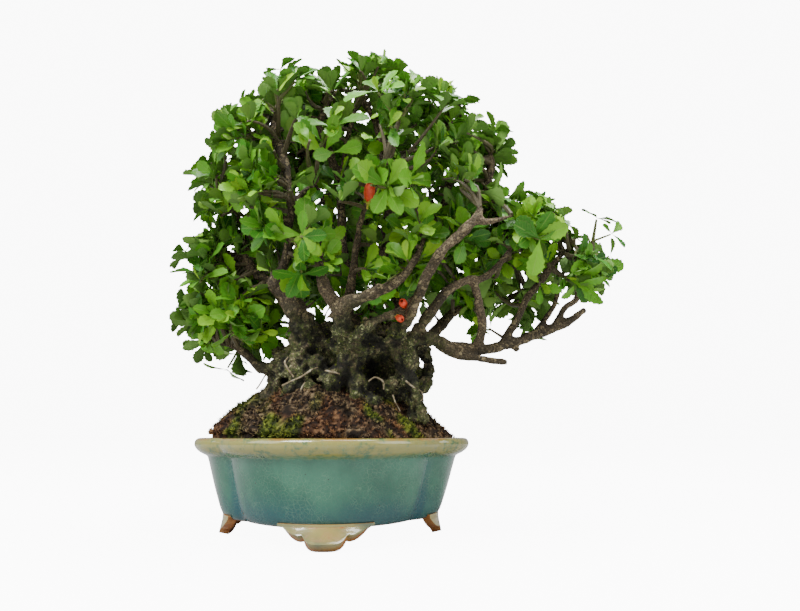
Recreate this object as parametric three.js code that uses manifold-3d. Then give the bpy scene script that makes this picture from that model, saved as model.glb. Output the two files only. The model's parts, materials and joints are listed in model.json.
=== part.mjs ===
// A chojubai flowering quince: an old clump of stems trained as a bonsai, in a glazed four-lobed pot.
// Millimetres, +Z up. Everything is drawn about the middle of the pot with the front towards -Y,
// and the last lines move the whole group so that the origin is under the middle of its bounds.
import * as THREE from "three";
import { mergeVertices } from "three/addons/utils/BufferGeometryUtils.js";
import Module from "manifold-3d";

const wasm = await Module();
wasm.setup();

// Driving dimensions of the pot
const POT_HALF_WIDTH = 114;
const POT_HALF_DEPTH = 94;
const CREASE_X = 84;
const CREASE_Y = 47;
const FOOT_HEIGHT = 13.5;
const RIM_TOP = 75.4;
const FLOOR_TOP = 21;
const SOIL_TOP = 70;
const DRAIN_X = 42;
const DRAIN_RADIUS = 9;

// Driving dimensions of the plant
const FIT_GAP = 0.35;
const LEAF_LENGTH = 25;
const BLADE_THICKNESS = 1.3;
const TWIG_RADIUS = 1.7;
const GOLDEN_TURN = 2.39996;

const UP = new THREE.Vector3(0, 0, 1);

function vec(x, y, z) {
  return new THREE.Vector3(x, y, z);
}

// The same draw for the same number, from 0 to 1
function noise(seed) {
  const wave = Math.sin(seed * 127.1) * 43758.5453;
  return wave - Math.floor(wave);
}

// Solids

function solidFrom(points, faces) {
  const vertProperties = new Float32Array(points.flatMap((point) => [point.x, point.y, point.z]));
  const triVerts = new Uint32Array(faces.flat());
  return new wasm.Manifold(new wasm.Mesh({ numProp: 3, vertProperties, triVerts }));
}

function solidFromGeometry(geometry) {
  geometry.deleteAttribute("normal");
  geometry.deleteAttribute("uv");
  const merged = mergeVertices(geometry, 1e-4);
  const vertProperties = new Float32Array(merged.attributes.position.array);
  const triVerts = new Uint32Array(merged.index.array);
  return new wasm.Manifold(new wasm.Mesh({ numProp: 3, vertProperties, triVerts }));
}

// One closed skin over rings of points that go up the piece, with a fan of faces over each end
function skinOver(rings) {
  const count = rings[0].length;
  const points = rings.flat();
  const faces = [];
  for (let ring = 0; ring < rings.length - 1; ring++) {
    for (let side = 0; side < count; side++) {
      const next = (side + 1) % count;
      const low = ring * count;
      const high = low + count;
      faces.push([low + side, low + next, high + next]);
      faces.push([low + side, high + next, high + side]);
    }
  }
  const lastRing = (rings.length - 1) * count;
  const bottom = points.push(middleOf(rings[0])) - 1;
  const top = points.push(middleOf(rings.at(-1))) - 1;
  for (let side = 0; side < count; side++) {
    const next = (side + 1) % count;
    faces.push([bottom, next, side]);
    faces.push([top, lastRing + side, lastRing + next]);
  }
  return solidFrom(points, faces);
}

function middleOf(points) {
  const sum = points.reduce((total, point) => total.add(point), vec(0, 0, 0));
  return sum.divideScalar(points.length);
}

// A branch through [x, y, z, radius] points; grow makes it fatter and longer all round
function branch(route, sides, grow = 0) {
  const points = route.map(([x, y, z]) => vec(x, y, z));
  let across = null;
  const rings = points.map((point, i) => {
    const before = points[Math.max(i - 1, 0)];
    const after = points[Math.min(i + 1, points.length - 1)];
    const along = after.clone().sub(before).normalize();
    across = across ?? (Math.abs(along.z) > 0.8 ? vec(1, 0, 0) : UP.clone());
    across = across.clone().addScaledVector(along, -across.dot(along)).normalize();
    const over = along.clone().cross(across);
    const isEnd = i === 0 ? -1 : Number(i === points.length - 1);
    const centre = point.clone().addScaledVector(along, isEnd * grow);
    return ringAround(centre, across, over, route[i][3] + grow, sides);
  });
  return skinOver(rings);
}

function ringAround(centre, across, over, radius, sides) {
  return Array.from({ length: sides }, (_, side) => {
    const turn = (side / sides) * 2 * Math.PI;
    const point = centre.clone().addScaledVector(across, radius * Math.cos(turn));
    return point.addScaledVector(over, radius * Math.sin(turn));
  });
}

function axesAcross(axis) {
  const first = (Math.abs(axis.z) > 0.9 ? vec(1, 0, 0) : UP.clone()).cross(axis).normalize();
  return [first, axis.clone().cross(first)];
}

// A knobby swelling: a round of faces, pushed in and out
function swelling([x, y, z, radius], grow = 0) {
  const geometry = new THREE.IcosahedronGeometry(1, 1);
  geometry.deleteAttribute("normal");
  geometry.deleteAttribute("uv");
  const round = mergeVertices(geometry, 1e-4);
  const corners = round.attributes.position;
  for (let i = 0; i < corners.count; i++) {
    const push = radius * (0.86 + 0.28 * noise(x + 7 * i)) + grow;
    const corner = vec(corners.getX(i), corners.getY(i), corners.getZ(i)).multiplyScalar(push);
    corners.setXYZ(i, x + corner.x, y + corner.y, z + corner.z);
  }
  return solidFromGeometry(round);
}

function joined(solids) {
  return solids.reduce((whole, next) => whole.add(next));
}

function largestPiece(solid) {
  const pieces = solid.decompose();
  return pieces.reduce((best, next) => (next.volume() > best.volume() ? next : best));
}

// Pot

// Four lobes, each an arc that bulges between two creases; a width of 1 gives the widest line
function lobedRing(halfWidth, z) {
  const scale = halfWidth / POT_HALF_WIDTH;
  const creaseFar = CREASE_X ** 2 + CREASE_Y ** 2;
  const frontCentre = (creaseFar - POT_HALF_DEPTH ** 2) / (2 * (POT_HALF_DEPTH - CREASE_Y));
  const sideCentre = (POT_HALF_WIDTH ** 2 - creaseFar) / (2 * (POT_HALF_WIDTH - CREASE_X));
  const frontRadius = POT_HALF_DEPTH + frontCentre;
  const sideRadius = POT_HALF_WIDTH - sideCentre;
  const frontReach = Math.asin(CREASE_X / frontRadius);
  const sideReach = Math.asin(CREASE_Y / sideRadius);
  const lobes = [
    { x: sideCentre, y: 0, radius: sideRadius, middle: 0, reach: sideReach, steps: 7 },
    { x: 0, y: -frontCentre, radius: frontRadius, middle: 90, reach: frontReach, steps: 10 },
    { x: -sideCentre, y: 0, radius: sideRadius, middle: 180, reach: sideReach, steps: 7 },
    { x: 0, y: frontCentre, radius: frontRadius, middle: 270, reach: frontReach, steps: 10 },
  ];
  return lobes.flatMap((lobe) =>
    Array.from({ length: lobe.steps }, (_, step) => {
      const turn = THREE.MathUtils.degToRad(lobe.middle) + lobe.reach * ((2 * step) / lobe.steps - 1);
      const x = lobe.x + lobe.radius * Math.cos(turn);
      const y = lobe.y + lobe.radius * Math.sin(turn);
      return vec(x * scale, y * scale, z);
    }),
  );
}

function lobedSolid(profile) {
  return skinOver(profile.map(([halfWidth, z]) => lobedRing(halfWidth, z)));
}

// Half-width and height up the outside: waisted wall, then a lip that rolls out
const POT_OUTSIDE = [
  [82, FOOT_HEIGHT],
  [86.5, 15.2],
  [90, 20],
  [96.5, 40],
  [102.4, 59.5],
  [105.5, 62],
  [112.5, 66.5],
  [POT_HALF_WIDTH, 71.5],
  [109.5, RIM_TOP],
];
const POT_INSIDE = [
  [82, FLOOR_TOP],
  [86, 26],
  [97, 60],
  [100, 68],
  [106, RIM_TOP + 3],
];

// Outline of a cloud-shaped foot, from its middle out, as [across, up]
const CLOUD_HALF = [
  [6, 0],
  [10.5, 0.9],
  [13.6, 4.4],
  [19.5, 5],
  [26, 8.4],
  [31, 13.2],
  [31, FOOT_HEIGHT + 3.5],
];

const FOOT_THICKNESS = { tip: 8, root: 14 };
const FOOT_SETBACK = 2;

// Feet flare out under the front and back lobes and stand straighter under the side lobes
function cloudFoot({ lobeDistance, lobeRadius, widthShare, flare, turn }) {
  const right = CLOUD_HALF.map(([across, up]) => new THREE.Vector2(across * widthShare, up));
  const left = CLOUD_HALF.map(([across, up]) => new THREE.Vector2(-across * widthShare, up)).reverse();
  const outline = new THREE.Shape([...right, ...left]);
  const slab = new THREE.ExtrudeGeometry(outline, { depth: 1, steps: 1, bevelEnabled: false });
  const corners = slab.attributes.position;
  for (let i = 0; i < corners.count; i++) {
    const across = corners.getX(i);
    const up = corners.getY(i);
    const share = Math.min(up / FOOT_HEIGHT, 1);
    const bow = lobeRadius - Math.sqrt(lobeRadius ** 2 - across ** 2);
    const thickness = THREE.MathUtils.lerp(FOOT_THICKNESS.tip, FOOT_THICKNESS.root, share);
    const face = lobeDistance - FOOT_SETBACK - bow + flare * (1 - share);
    corners.setXYZ(i, face - thickness * (1 - corners.getZ(i)), across, up);
  }
  return solidFromGeometry(slab).rotate([0, 0, turn]);
}

function buildPot() {
  const shell = lobedSolid(POT_OUTSIDE).subtract(lobedSolid(POT_INSIDE));
  const bottomShare = POT_OUTSIDE[0][0] / POT_HALF_WIDTH;
  const sideDistance = POT_HALF_WIDTH * bottomShare;
  const frontDistance = POT_HALF_DEPTH * bottomShare;
  const side = { lobeDistance: sideDistance, lobeRadius: 40, widthShare: 0.78, flare: 2.5 };
  const front = { lobeDistance: frontDistance, lobeRadius: 73, widthShare: 1, flare: 12 };
  const feet = [
    cloudFoot({ ...side, turn: 0 }),
    cloudFoot({ ...front, turn: 90 }),
    cloudFoot({ ...side, turn: 180 }),
    cloudFoot({ ...front, turn: 270 }),
  ];
  const drains = [-DRAIN_X, DRAIN_X].map((x) => {
    return upright(x, FOOT_HEIGHT - 2, FLOOR_TOP + 2, DRAIN_RADIUS);
  });
  const pot = joined([shell, ...feet]);
  return drains.reduce((rest, drain) => rest.subtract(drain), pot);
}

function upright(x, low, high, radius) {
  const geometry = new THREE.CylinderGeometry(radius, radius, high - low, 16);
  geometry.rotateX(Math.PI / 2);
  geometry.translate(x, 0, (low + high) / 2);
  return solidFromGeometry(geometry);
}

function squareBlock(x, y, low, high, width) {
  const geometry = new THREE.BoxGeometry(width, width, high - low);
  geometry.translate(x, y, (low + high) / 2);
  return solidFromGeometry(geometry);
}

// Plastic mesh laid over a drainage hole, under the soil
const SCREEN_SIZE = 26;
const SCREEN_LOW = FLOOR_TOP + 0.3;
const SCREEN_HIGH = FLOOR_TOP + 1.5;
const MESH_PITCH = 11;
const MESH_HOLE = 8;

function buildScreen(x) {
  let screen = squareBlock(x, 0, SCREEN_LOW, SCREEN_HIGH, SCREEN_SIZE);
  for (const across of [-MESH_PITCH / 2, MESH_PITCH / 2]) {
    for (const back of [-MESH_PITCH / 2, MESH_PITCH / 2]) {
      screen = screen.subtract(squareBlock(x + across, back, SCREEN_LOW - 1, SCREEN_HIGH + 1, MESH_HOLE));
    }
  }
  return screen;
}

// Wood: every stem is a list of [x, y, z, radius] places, thick end first

// The old clump, from the roots in the soil to the swollen top where its stems part:
// height, half-width and half-depth
const CLUMP = [
  [44, 28, 26],
  [68, 34, 30],
  [96, 46, 36],
  [109, 54, 41],
  [121, 57, 43],
  [134, 57, 44],
  [148, 51, 40],
  [160, 41, 33],
  [171, 26, 20],
];
const CLUMP_MIDDLE_X = 15;
const CLUMP_SIDES = 16;
const CLUMP_LUMP = 0.17;

// Rounded growths on the clump's left shoulder
const SWELLINGS = [
  [-22, -32, 156, 14],
  [-31, -52, 176, 9.5],
];

const LIMBS = {
  rightMain: [[20, -14, 134, 12], [36, -30, 142, 9], [56, -42, 149, 7], [76, -46, 154, 5.8],
    [92, -44, 148, 5.4], [106, -42, 146, 5.4], [122, -39, 146, 5], [145, -30, 152, 4.8],
    [169, -20, 161, 4.4], [196, -12, 171, 4], [211, -8, 180, 3.6], [223, -4, 188, 2.6]],
  rightUnder: [[84, -42, 149, 4.5], [101, -46, 140, 3.6], [120, -48, 136, 3.2], [140, -46, 135, 2.8]],
  rightUpright: [[117, -42, 146, 4.6], [119, -52, 163, 3.8], [115, -60, 182, 3.8], [112, -62, 196, 3.6],
    [124, -60, 203, 3], [137, -58, 217, 2.5], [148, -54, 232, 1.7]],
  rightMiddle: [[52, -24, 146, 8], [68, -48, 161, 5.4], [80, -62, 176, 4.5], [91, -66, 190, 4],
    [112, -63, 200, 3]],
  rightSlant: [[46, -38, 146, 7], [57, -62, 165, 4.8], [64, -70, 177, 4.4], [76, -84, 203, 4.2],
    [86, -90, 216, 4.2], [108, -92, 237, 4], [113, -90, 249, 2.4]],
  rightSlantFork: [[106, -92, 236, 3], [123, -88, 239, 2.4], [140, -80, 247, 1.6]],
  rightDiagonal: [[140, -32, 152, 4], [150, -34, 168, 3.3], [159, -36, 185, 3.4], [172, -38, 204, 3.2],
    [186, -40, 222, 2.8], [204, -40, 237, 1.8]],
  rightEndUpper: [[192, -13, 171, 3.6], [203, -12, 188, 3], [214, -12, 198, 3], [218, -12, 217, 2.4],
    [231, -12, 227, 1.5]],
  rightEndLower: [[172, -18, 163, 3.6], [185, -16, 179, 2.6], [194, -14, 195, 2.2], [198, -12, 211, 1.6]],
  rightBack: [[56, 4, 146, 9], [84, 8, 166, 5.8], [106, 18, 188, 4.6], [133, 28, 203, 4],
    [160, 34, 207, 3.4], [190, 34, 220, 2.2]],
  frontCurve: [[22, -36, 138, 10], [9, -58, 158, 8], [7, -72, 172, 6.4], [20, -80, 176, 5.2],
    [33, -83, 181, 4.6], [45, -83, 188, 4.2], [55, -80, 197, 3.6], [64, -76, 211, 3], [71, -70, 231, 2]],
  frontCurveLeft: [[7, -69, 169, 6], [-3, -73, 184, 5.4], [-9, -67, 201, 4.4], [-9, -60, 226, 2.6]],
  frontLow: [[14, -44, 142, 9], [20, -62, 152, 5.6], [29, -68, 161, 4.8], [44, -64, 167, 4.2],
    [58, -56, 178, 3.6], [71, -46, 195, 3], [88, -36, 224, 2]],
  leftUpright: [[-10, -24, 146, 13], [-23, -40, 162, 11.5], [-35, -56, 181, 7], [-45, -62, 195, 5.6],
    [-39, -67, 204, 4.2], [-35, -71, 216, 3.8], [-36, -72, 234, 3.6], [-34, -71, 254, 3.6],
    [-38, -68, 272, 3.6], [-43, -58, 298, 4], [-53, -46, 328, 4.4], [-60, -36, 361, 4.2]],
  leftUprightFork: [[-34, -71, 252, 3], [-26, -70, 265, 2.4], [-16, -66, 279, 1.6]],
  leftDark: [[-26, -30, 166, 8], [-50, -30, 197, 4.8], [-67, -24, 212, 4.2], [-79, -20, 223, 3.6],
    [-97, -16, 234, 2.2]],
  leftUpper: [[-77, -20, 221, 3.4], [-80, -24, 239, 2.6], [-83, -28, 256, 2.4], [-90, -30, 270, 2],
    [-104, -30, 285, 1.5]],
  leftLow: [[-18, -14, 132, 10], [-41, -25, 128, 6.5], [-54, -26, 130, 5], [-65, -22, 136, 4.4],
    [-77, -18, 146, 3.6], [-90, -15, 152, 2.4]],
  leftLowThin: [[-24, -4, 140, 8], [-52, -4, 150, 4], [-65, 1, 162, 3.2], [-78, 5, 174, 2.6],
    [-87, 7, 189, 1.7]],
  centre: [[10, -28, 158, 8], [12, -42, 190, 4.6], [15, -46, 209, 3.8], [18, -50, 236, 3],
    [24, -60, 258, 2.2], [33, -70, 273, 1.8], [39, -80, 289, 1.4]],
  upperLeft: [[0, -8, 160, 9], [8, -18, 194, 5.6], [5, -10, 236, 4.4], [0, -6, 286, 4],
    [-7, -14, 322, 3.8], [-20, -27, 349, 4], [-14, -32, 366, 2.8], [-4, -34, 385, 1.8]],
  upperLeftThin: [[1, -7, 300, 3.2], [5, -20, 334, 2.6], [9, -26, 354, 2.4], [14, -30, 372, 1.6]],
  upperMiddle: [[28, -8, 160, 10], [38, -18, 210, 6], [44, -13, 254, 4.8], [42, -14, 300, 4.4],
    [38, -16, 342, 4.4], [33, -18, 362, 4], [22, -21, 379, 3.2], [11, -23, 391, 1.9]],
  upperRight: [[40, 4, 160, 9], [58, 4, 206, 5.8], [82, 6, 258, 4.8], [99, 8, 294, 4.2],
    [106, 4, 327, 3.6], [107, -2, 352, 2.8], [106, -4, 371, 1.7]],
  upperRightKnob: [[80, 5, 254, 4.4], [108, -10, 270, 3.8], [130, -22, 290, 3.8], [137, -30, 314, 3.8],
    [137, -32, 328, 2]],
  backLeft: [[-14, 14, 144, 12], [-34, 34, 180, 6], [-54, 56, 214, 4.8], [-72, 70, 250, 3.8],
    [-84, 72, 290, 2]],
  backMiddle: [[6, 22, 146, 12], [2, 52, 196, 6], [4, 72, 244, 4.8], [14, 76, 296, 4], [20, 68, 346, 2.8],
    [24, 58, 378, 1.8]],
  backRight: [[34, 24, 146, 12], [54, 54, 186, 5.8], [76, 74, 226, 4.6], [94, 80, 270, 3.6],
    [100, 72, 314, 2]],
  backTop: [[6, 73, 250, 4.6], [-16, 60, 306, 3.6], [-38, 46, 346, 2.8], [-50, 36, 374, 1.8]],
  backUnder: [[24, 38, 140, 10], [30, 68, 164, 5], [40, 88, 184, 3.8], [48, 98, 210, 2.2]],
};

function sidesFor(route) {
  const thickest = Math.max(...route.slice(1).map((place) => place[3]));
  if (thickest > 7) {
    return 6;
  }
  return thickest > 4.2 ? 5 : 4;
}

function buildClump(grow) {
  const rings = CLUMP.map(([z, halfWidth, halfDepth], row) => {
    return Array.from({ length: CLUMP_SIDES }, (_, side) => {
      const turn = (side / CLUMP_SIDES) * 2 * Math.PI;
      const swell = row < 3 ? 1 : 1 + CLUMP_LUMP * (2 * noise(side * 3.7 + row * 11) - 1);
      const x = CLUMP_MIDDLE_X + (halfWidth * swell + grow) * Math.cos(turn);
      return vec(x, (halfDepth * swell + grow) * Math.sin(turn), z);
    });
  });
  rings[0].forEach((point) => point.setZ(point.z - grow));
  rings.at(-1).forEach((point) => point.setZ(point.z + grow));
  return skinOver(rings);
}

function buildWood(grow) {
  const swellings = SWELLINGS.map((place) => swelling(place, grow));
  const limbs = Object.values(LIMBS).map((route) => branch(route, sidesFor(route), grow));
  return joined([buildClump(grow), ...swellings, ...limbs]);
}

// Soil and moss

const SOIL_PROFILE = [
  [81.4, FLOOR_TOP + FIT_GAP],
  [85.4, 26],
  [96.4, 60],
  [99.8, SOIL_TOP],
];

function buildSoil(woodRoom) {
  const screenRoom = SCREEN_SIZE + 2 * FIT_GAP;
  const recesses = [-DRAIN_X, DRAIN_X].map((x) => {
    return squareBlock(x, 0, FLOOR_TOP - 1, SCREEN_HIGH + FIT_GAP, screenRoom);
  });
  const soil = recesses.reduce((rest, recess) => rest.subtract(recess), lobedSolid(SOIL_PROFILE));
  return soil.subtract(woodRoom);
}

// Height of the moss over the soil; share is 0 at the trunk and 1 at the rim.
// The mound is banked up higher on the left, against the leaning clump.
const MOSS_LEFT = { edge: 11, slope: 104, cap: 68 };
const MOSS_RIGHT = { edge: 4, slope: 80, cap: 40 };
const MOSS_HALF_WIDTH = 100.4;

function mossHeight(share, x, y) {
  const leftShare = 0.5 - 0.5 * Math.tanh(x / 60);
  const between = (key) => THREE.MathUtils.lerp(MOSS_RIGHT[key], MOSS_LEFT[key], leftShare);
  const rise = between("edge") + between("slope") * (1 - share);
  const soft = between("cap") * Math.tanh(rise / between("cap"));
  const clumps = 1.6 * Math.sin(x / 6.1 + 0.7) * Math.cos(y / 5.3) + 1.1 * Math.sin((x + 2 * y) / 9.7);
  return soft + clumps * Math.min(1, 6 * (1 - share));
}

function buildMoss(woodRoom) {
  const low = SOIL_TOP + 0.3;
  const shares = [1, 0.92, 0.8, 0.66, 0.5, 0.3];
  const rings = [lobedRing(MOSS_HALF_WIDTH, low)];
  for (const share of shares) {
    const ring = lobedRing(MOSS_HALF_WIDTH * share, 0);
    rings.push(ring.map((point) => vec(point.x, point.y, low + 2 + mossHeight(share, point.x, point.y))));
  }
  return largestPiece(skinOver(rings).subtract(woodRoom));
}

// Leafy sprays

// Rounded masses of foliage: their middles and how far they reach, in x, y and z
const MASSES = [
  { centre: vec(13, 0, 293), reach: vec(143, 120, 134), count: 32, lowest: -0.76 },
  { centre: vec(182, -14, 238), reach: vec(68, 62, 54), count: 9, lowest: -0.75 },
  { centre: vec(-100, -6, 182), reach: vec(38, 52, 32), count: 6, lowest: -0.8 },
];

function depthInMass(point, mass) {
  return point.clone().sub(mass.centre).divide(mass.reach).length();
}

// Bare room at the lower front, where the old stems show
function isBareRoom(point) {
  return point.y < -30 && point.z < 204 && point.x > -50 && point.x < 104;
}

// Nearest place along the limbs that keeps its distance from where the other twigs start
const TWIG_SPACING = 9;

function nearestWood(point, taken) {
  let best = null;
  for (const route of Object.values(LIMBS)) {
    for (let i = 1; i < route.length; i++) {
      for (const share of [0.25, 0.5, 0.75, 1]) {
        const from = vec(...route[i - 1].slice(0, 3));
        const place = from.lerp(vec(...route[i].slice(0, 3)), share);
        const distance = place.distanceTo(point);
        const isFree = taken.every((other) => other.distanceTo(place) > TWIG_SPACING);
        if (isFree && (best === null || distance < best.distance)) {
          best = { place, distance };
        }
      }
    }
  }
  return best.place;
}

// Heights are shares of a mass's reach; so are depths, where 1 is its outermost leaves
const HIGHEST = 0.98;
const DEEPEST = 0.82;
const SHALLOWEST = 0.94;

// Evenly spread places over each mass, apart from those inside another mass
function sprayPlaces() {
  const places = [];
  MASSES.forEach((mass, massNumber) => {
    for (let i = 0; i < mass.count; i++) {
      const height = THREE.MathUtils.lerp(HIGHEST, mass.lowest, (i + 0.4) / mass.count);
      const around = Math.sqrt(1 - height * height);
      const turn = i * GOLDEN_TURN + massNumber;
      const unit = vec(around * Math.cos(turn), around * Math.sin(turn), height);
      const depth = THREE.MathUtils.lerp(SHALLOWEST, DEEPEST, noise(i + 50 * massNumber));
      const point = unit.clone().multiply(mass.reach).multiplyScalar(depth).add(mass.centre);
      const others = MASSES.filter((other) => other !== mass);
      const isHidden = others.some((other) => depthInMass(point, other) < DEEPEST);
      if (!isHidden && !isBareRoom(point)) {
        const start = nearestWood(point, places.map((place) => place.start));
        places.push({ point, start, outward: unit.clone().divide(mass.reach).normalize() });
      }
    }
  });
  return places;
}

// How many ways a twig is bent, and a rosette turned, until it clears its neighbours
const TWIG_TRIES = 24;
const ROSETTE_TRIES = 12;

// Twig of one spray: from the limb to its tip, with a side shoot from its bend.
// Each new try bends it another way, a little further, and shifts its tip to the side.
function twigRoute(place, seed, tries) {
  const { start, point } = place;
  const reach = point.distanceTo(start);
  const along = point.clone().sub(start).normalize();
  const side = along.clone().cross(place.outward).normalize();
  const over = along.clone().cross(side);
  const turn = 2 * Math.PI * noise(seed + 3) + GOLDEN_TURN * tries;
  const away = side.clone().multiplyScalar(Math.cos(turn)).addScaledVector(over, Math.sin(turn));
  const tip = point.clone().addScaledVector(away, 1.5 * tries);
  const middle = start.clone().lerp(point, 0.52).addScaledVector(away, reach * (0.12 + 0.012 * tries));
  const shootWay = side.clone().multiplyScalar(noise(seed + 5) < 0.5 ? 0.8 : -0.8);
  shootWay.addScaledVector(place.outward, 0.5).addScaledVector(UP, 0.3 * (noise(seed + 6) - 0.3));
  shootWay.normalize();
  const shootTip = middle.clone().addScaledVector(shootWay, 20 + 8 * noise(seed + 7));
  return { start, middle, tip, shootTip, along, shootWay };
}

function twigSolid(route, grow) {
  const at = (point, radius) => [point.x, point.y, point.z, radius];
  const main = [
    at(route.start, TWIG_RADIUS + 0.4),
    at(route.middle, TWIG_RADIUS),
    at(route.tip, 0.65 * TWIG_RADIUS),
  ];
  const shoot = [at(route.middle, 0.75 * TWIG_RADIUS), at(route.shootTip, 0.5 * TWIG_RADIUS)];
  return branch(main, 3, grow).add(branch(shoot, 3, grow));
}

// The k-th leaf of a rosette at a shoot's tip: base, direction, upper face and length.
// Each new try turns the rosette on round its shoot, opens it less and makes it a little smaller.
function leafOn(shoot, k, tries) {
  const [first, second] = axesAcross(shoot.axis);
  const around = (k + 0.12 * (noise(shoot.seed + 30 + k) - 0.5)) / shoot.leaves;
  const turn = 2 * Math.PI * (around + noise(shoot.seed + 11)) + 0.37 * tries;
  const lift = 0.12 + 0.34 * noise(shoot.seed + 20 + k) + 0.03 * tries;
  const out = first.clone().multiplyScalar(Math.cos(turn)).addScaledVector(second, Math.sin(turn));
  const along = out.clone().multiplyScalar(Math.cos(lift)).addScaledVector(shoot.axis, Math.sin(lift));
  const facing = shoot.axis.clone().multiplyScalar(Math.cos(lift)).addScaledVector(out, -Math.sin(lift));
  const length = LEAF_LENGTH * (0.8 + 0.4 * noise(shoot.seed + 40 + k)) * (1 - 0.03 * tries);
  return { base: shoot.tip, along, facing, across: facing.clone().cross(along), length, turn };
}

// Half of a blade's toothed outline, as shares of its length: along, then across
const LEAF_EDGE = [
  [0.6, 0.285],
  [0.66, 0.21],
  [0.88, 0.2],
];
const HUB_RADIUS = 1.6;

// A blade's surface at a place: edges lifted along the rib, tip bent down
function onBlade(leaf, along, across) {
  const lift = 0.32 * Math.abs(across) - 0.17 * along * along;
  const point = leaf.base.clone().addScaledVector(leaf.along, along * leaf.length);
  point.addScaledVector(leaf.across, across * leaf.length);
  return point.addScaledVector(leaf.facing, lift * leaf.length);
}

// Leaves round a shoot's tip, cut to their ribs from one thin arched blade, which is thickest
// in its middle. Both of its faces are split alike, so that they never cross.
function rosette(shoot, leaves, grow = 0) {
  const [first, second] = axesAcross(shoot.axis);
  const half = BLADE_THICKNESS + grow;
  const points = [];
  const put = (point) => points.push(point) - 1;
  const hub = (turn, far, lift) => {
    const point = shoot.tip.clone().addScaledVector(shoot.axis, lift);
    point.addScaledVector(first, far * Math.cos(turn));
    return point.addScaledVector(second, far * Math.sin(turn));
  };
  const top = put(hub(0, 0, 1.5 * half));
  const under = put(hub(0, 0, -1.5 * half));
  const turns = leaves.map((leaf) => leaf.turn);
  const notches = turns.map((turn, i) => {
    const next = i + 1 < turns.length ? turns[i + 1] : turns[0] + 2 * Math.PI;
    return put(hub((turn + next) / 2, HUB_RADIUS, 0));
  });
  const faces = [];
  leaves.forEach((leaf, i) => {
    const before = notches[(i + notches.length - 1) % notches.length];
    const after = notches[i];
    const right = LEAF_EDGE.map(([along, across]) => put(onBlade(leaf, along, -across)));
    const tip = put(onBlade(leaf, 1, 0));
    const left = LEAF_EDGE.map(([along, across]) => put(onBlade(leaf, along, across))).reverse();
    const ribTop = put(hub(leaf.turn, HUB_RADIUS, half));
    const ribUnder = put(hub(leaf.turn, HUB_RADIUS, -half));
    const edge = [before, ...right, tip, ...left, after];
    edge.slice(1).forEach((corner, k) => {
      faces.push([ribTop, edge[k], corner], [ribUnder, corner, edge[k]]);
    });
    faces.push([top, before, ribTop], [top, ribTop, after]);
    faces.push([under, ribUnder, before], [under, after, ribUnder]);
  });
  return solidFrom(points, faces);
}

function clears(solid, others) {
  const bounds = boundsOf(solid);
  const near = others.filter((other) => other.bounds.intersectsBox(bounds));
  return near.every((other) => solid.intersect(other.solid).isEmpty());
}

function boundsOf(solid) {
  const { min, max } = solid.boundingBox();
  return new THREE.Box3(vec(...min), vec(...max));
}

// The try that keeps the most leaves: each one, made a little larger and thicker, clears its neighbours
function freeRosette(shoot, inTheWay) {
  let best = [];
  for (let tries = 0; tries < ROSETTE_TRIES; tries++) {
    const leaves = Array.from({ length: shoot.leaves }, (_, k) => leafOn(shoot, k, tries));
    const free = leaves.filter((leaf) => {
      const spare = { ...leaf, length: leaf.length * 1.05 };
      return clears(rosette(shoot, [spare], 2 * FIT_GAP), inTheWay);
    });
    best = free.length > best.length ? free : best;
  }
  return best;
}

function buildSpray(place, number, neighbours, wood) {
  const seed = 100 * number + 1;
  const routes = Array.from({ length: TWIG_TRIES }, (_, tries) => twigRoute(place, seed, tries));
  const route = routes.find((candidate) => clears(twigSolid(candidate, 2 * FIT_GAP), neighbours));
  const tipAxis = route.along.clone().multiplyScalar(0.4).addScaledVector(place.outward, 0.8);
  tipAxis.addScaledVector(UP, 0.3).normalize();
  const shootAxis = route.shootWay.clone().addScaledVector(place.outward, 0.5).normalize();
  // A rosette sits on its twig's end, and hides it
  const seat = (tip, axis) => tip.clone().addScaledVector(axis, BLADE_THICKNESS);
  const shoots = [
    { tip: seat(route.tip, tipAxis), axis: tipAxis, leaves: 4, seed },
    { tip: seat(route.shootTip, shootAxis), axis: shootAxis, leaves: number % 2 ? 3 : 2, seed: seed + 60 },
  ];
  const pieces = [twigSolid(route, 0)];
  const own = [];
  for (const shoot of shoots) {
    const leaves = freeRosette(shoot, [...neighbours, wood, ...own]);
    if (leaves.length > 0) {
      const solid = rosette(shoot, leaves);
      pieces.push(solid);
      own.push(placed(solid));
    }
  }
  return joined(pieces).asOriginal().simplify(0.02);
}

// Flower buds: petals wrapped round a core, on a green calyx with a short stalk
const BLOOMS = [
  { at: vec(26.5, -68, 262), axis: vec(0.1, -0.75, 0.55), stalk: 7.5, length: 15 },
  { at: vec(56.5, -62, 176), axis: vec(-0.25, -0.9, 0.15), stalk: 7.5, length: 11 },
  { at: vec(50, -66, 167), axis: vec(0.4, -0.8, -0.45), stalk: 7.5, length: 9 },
];

// Five petals still wrapped round each other: each ring of the bud has a fold between petals
function buildPetals(bloom) {
  const axis = bloom.axis.clone().normalize();
  const [first, second] = axesAcross(axis);
  const rows = [[0, 1.9], [0.22, 3.2], [0.5, 4.1], [0.78, 3.9], [0.96, 2.6], [1.05, 1.2]];
  const rings = rows.map(([share, radius], row) => {
    const centre = bloom.at.clone().addScaledVector(axis, share * bloom.length);
    return Array.from({ length: 10 }, (_, side) => {
      const turn = (side / 10) * 2 * Math.PI + 0.28 * row;
      const reach = radius * (side % 2 ? 0.72 : 1) * (bloom.length / 15);
      const point = centre.clone().addScaledVector(first, reach * Math.cos(turn));
      return point.addScaledVector(second, reach * Math.sin(turn));
    });
  });
  return skinOver(rings);
}

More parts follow.
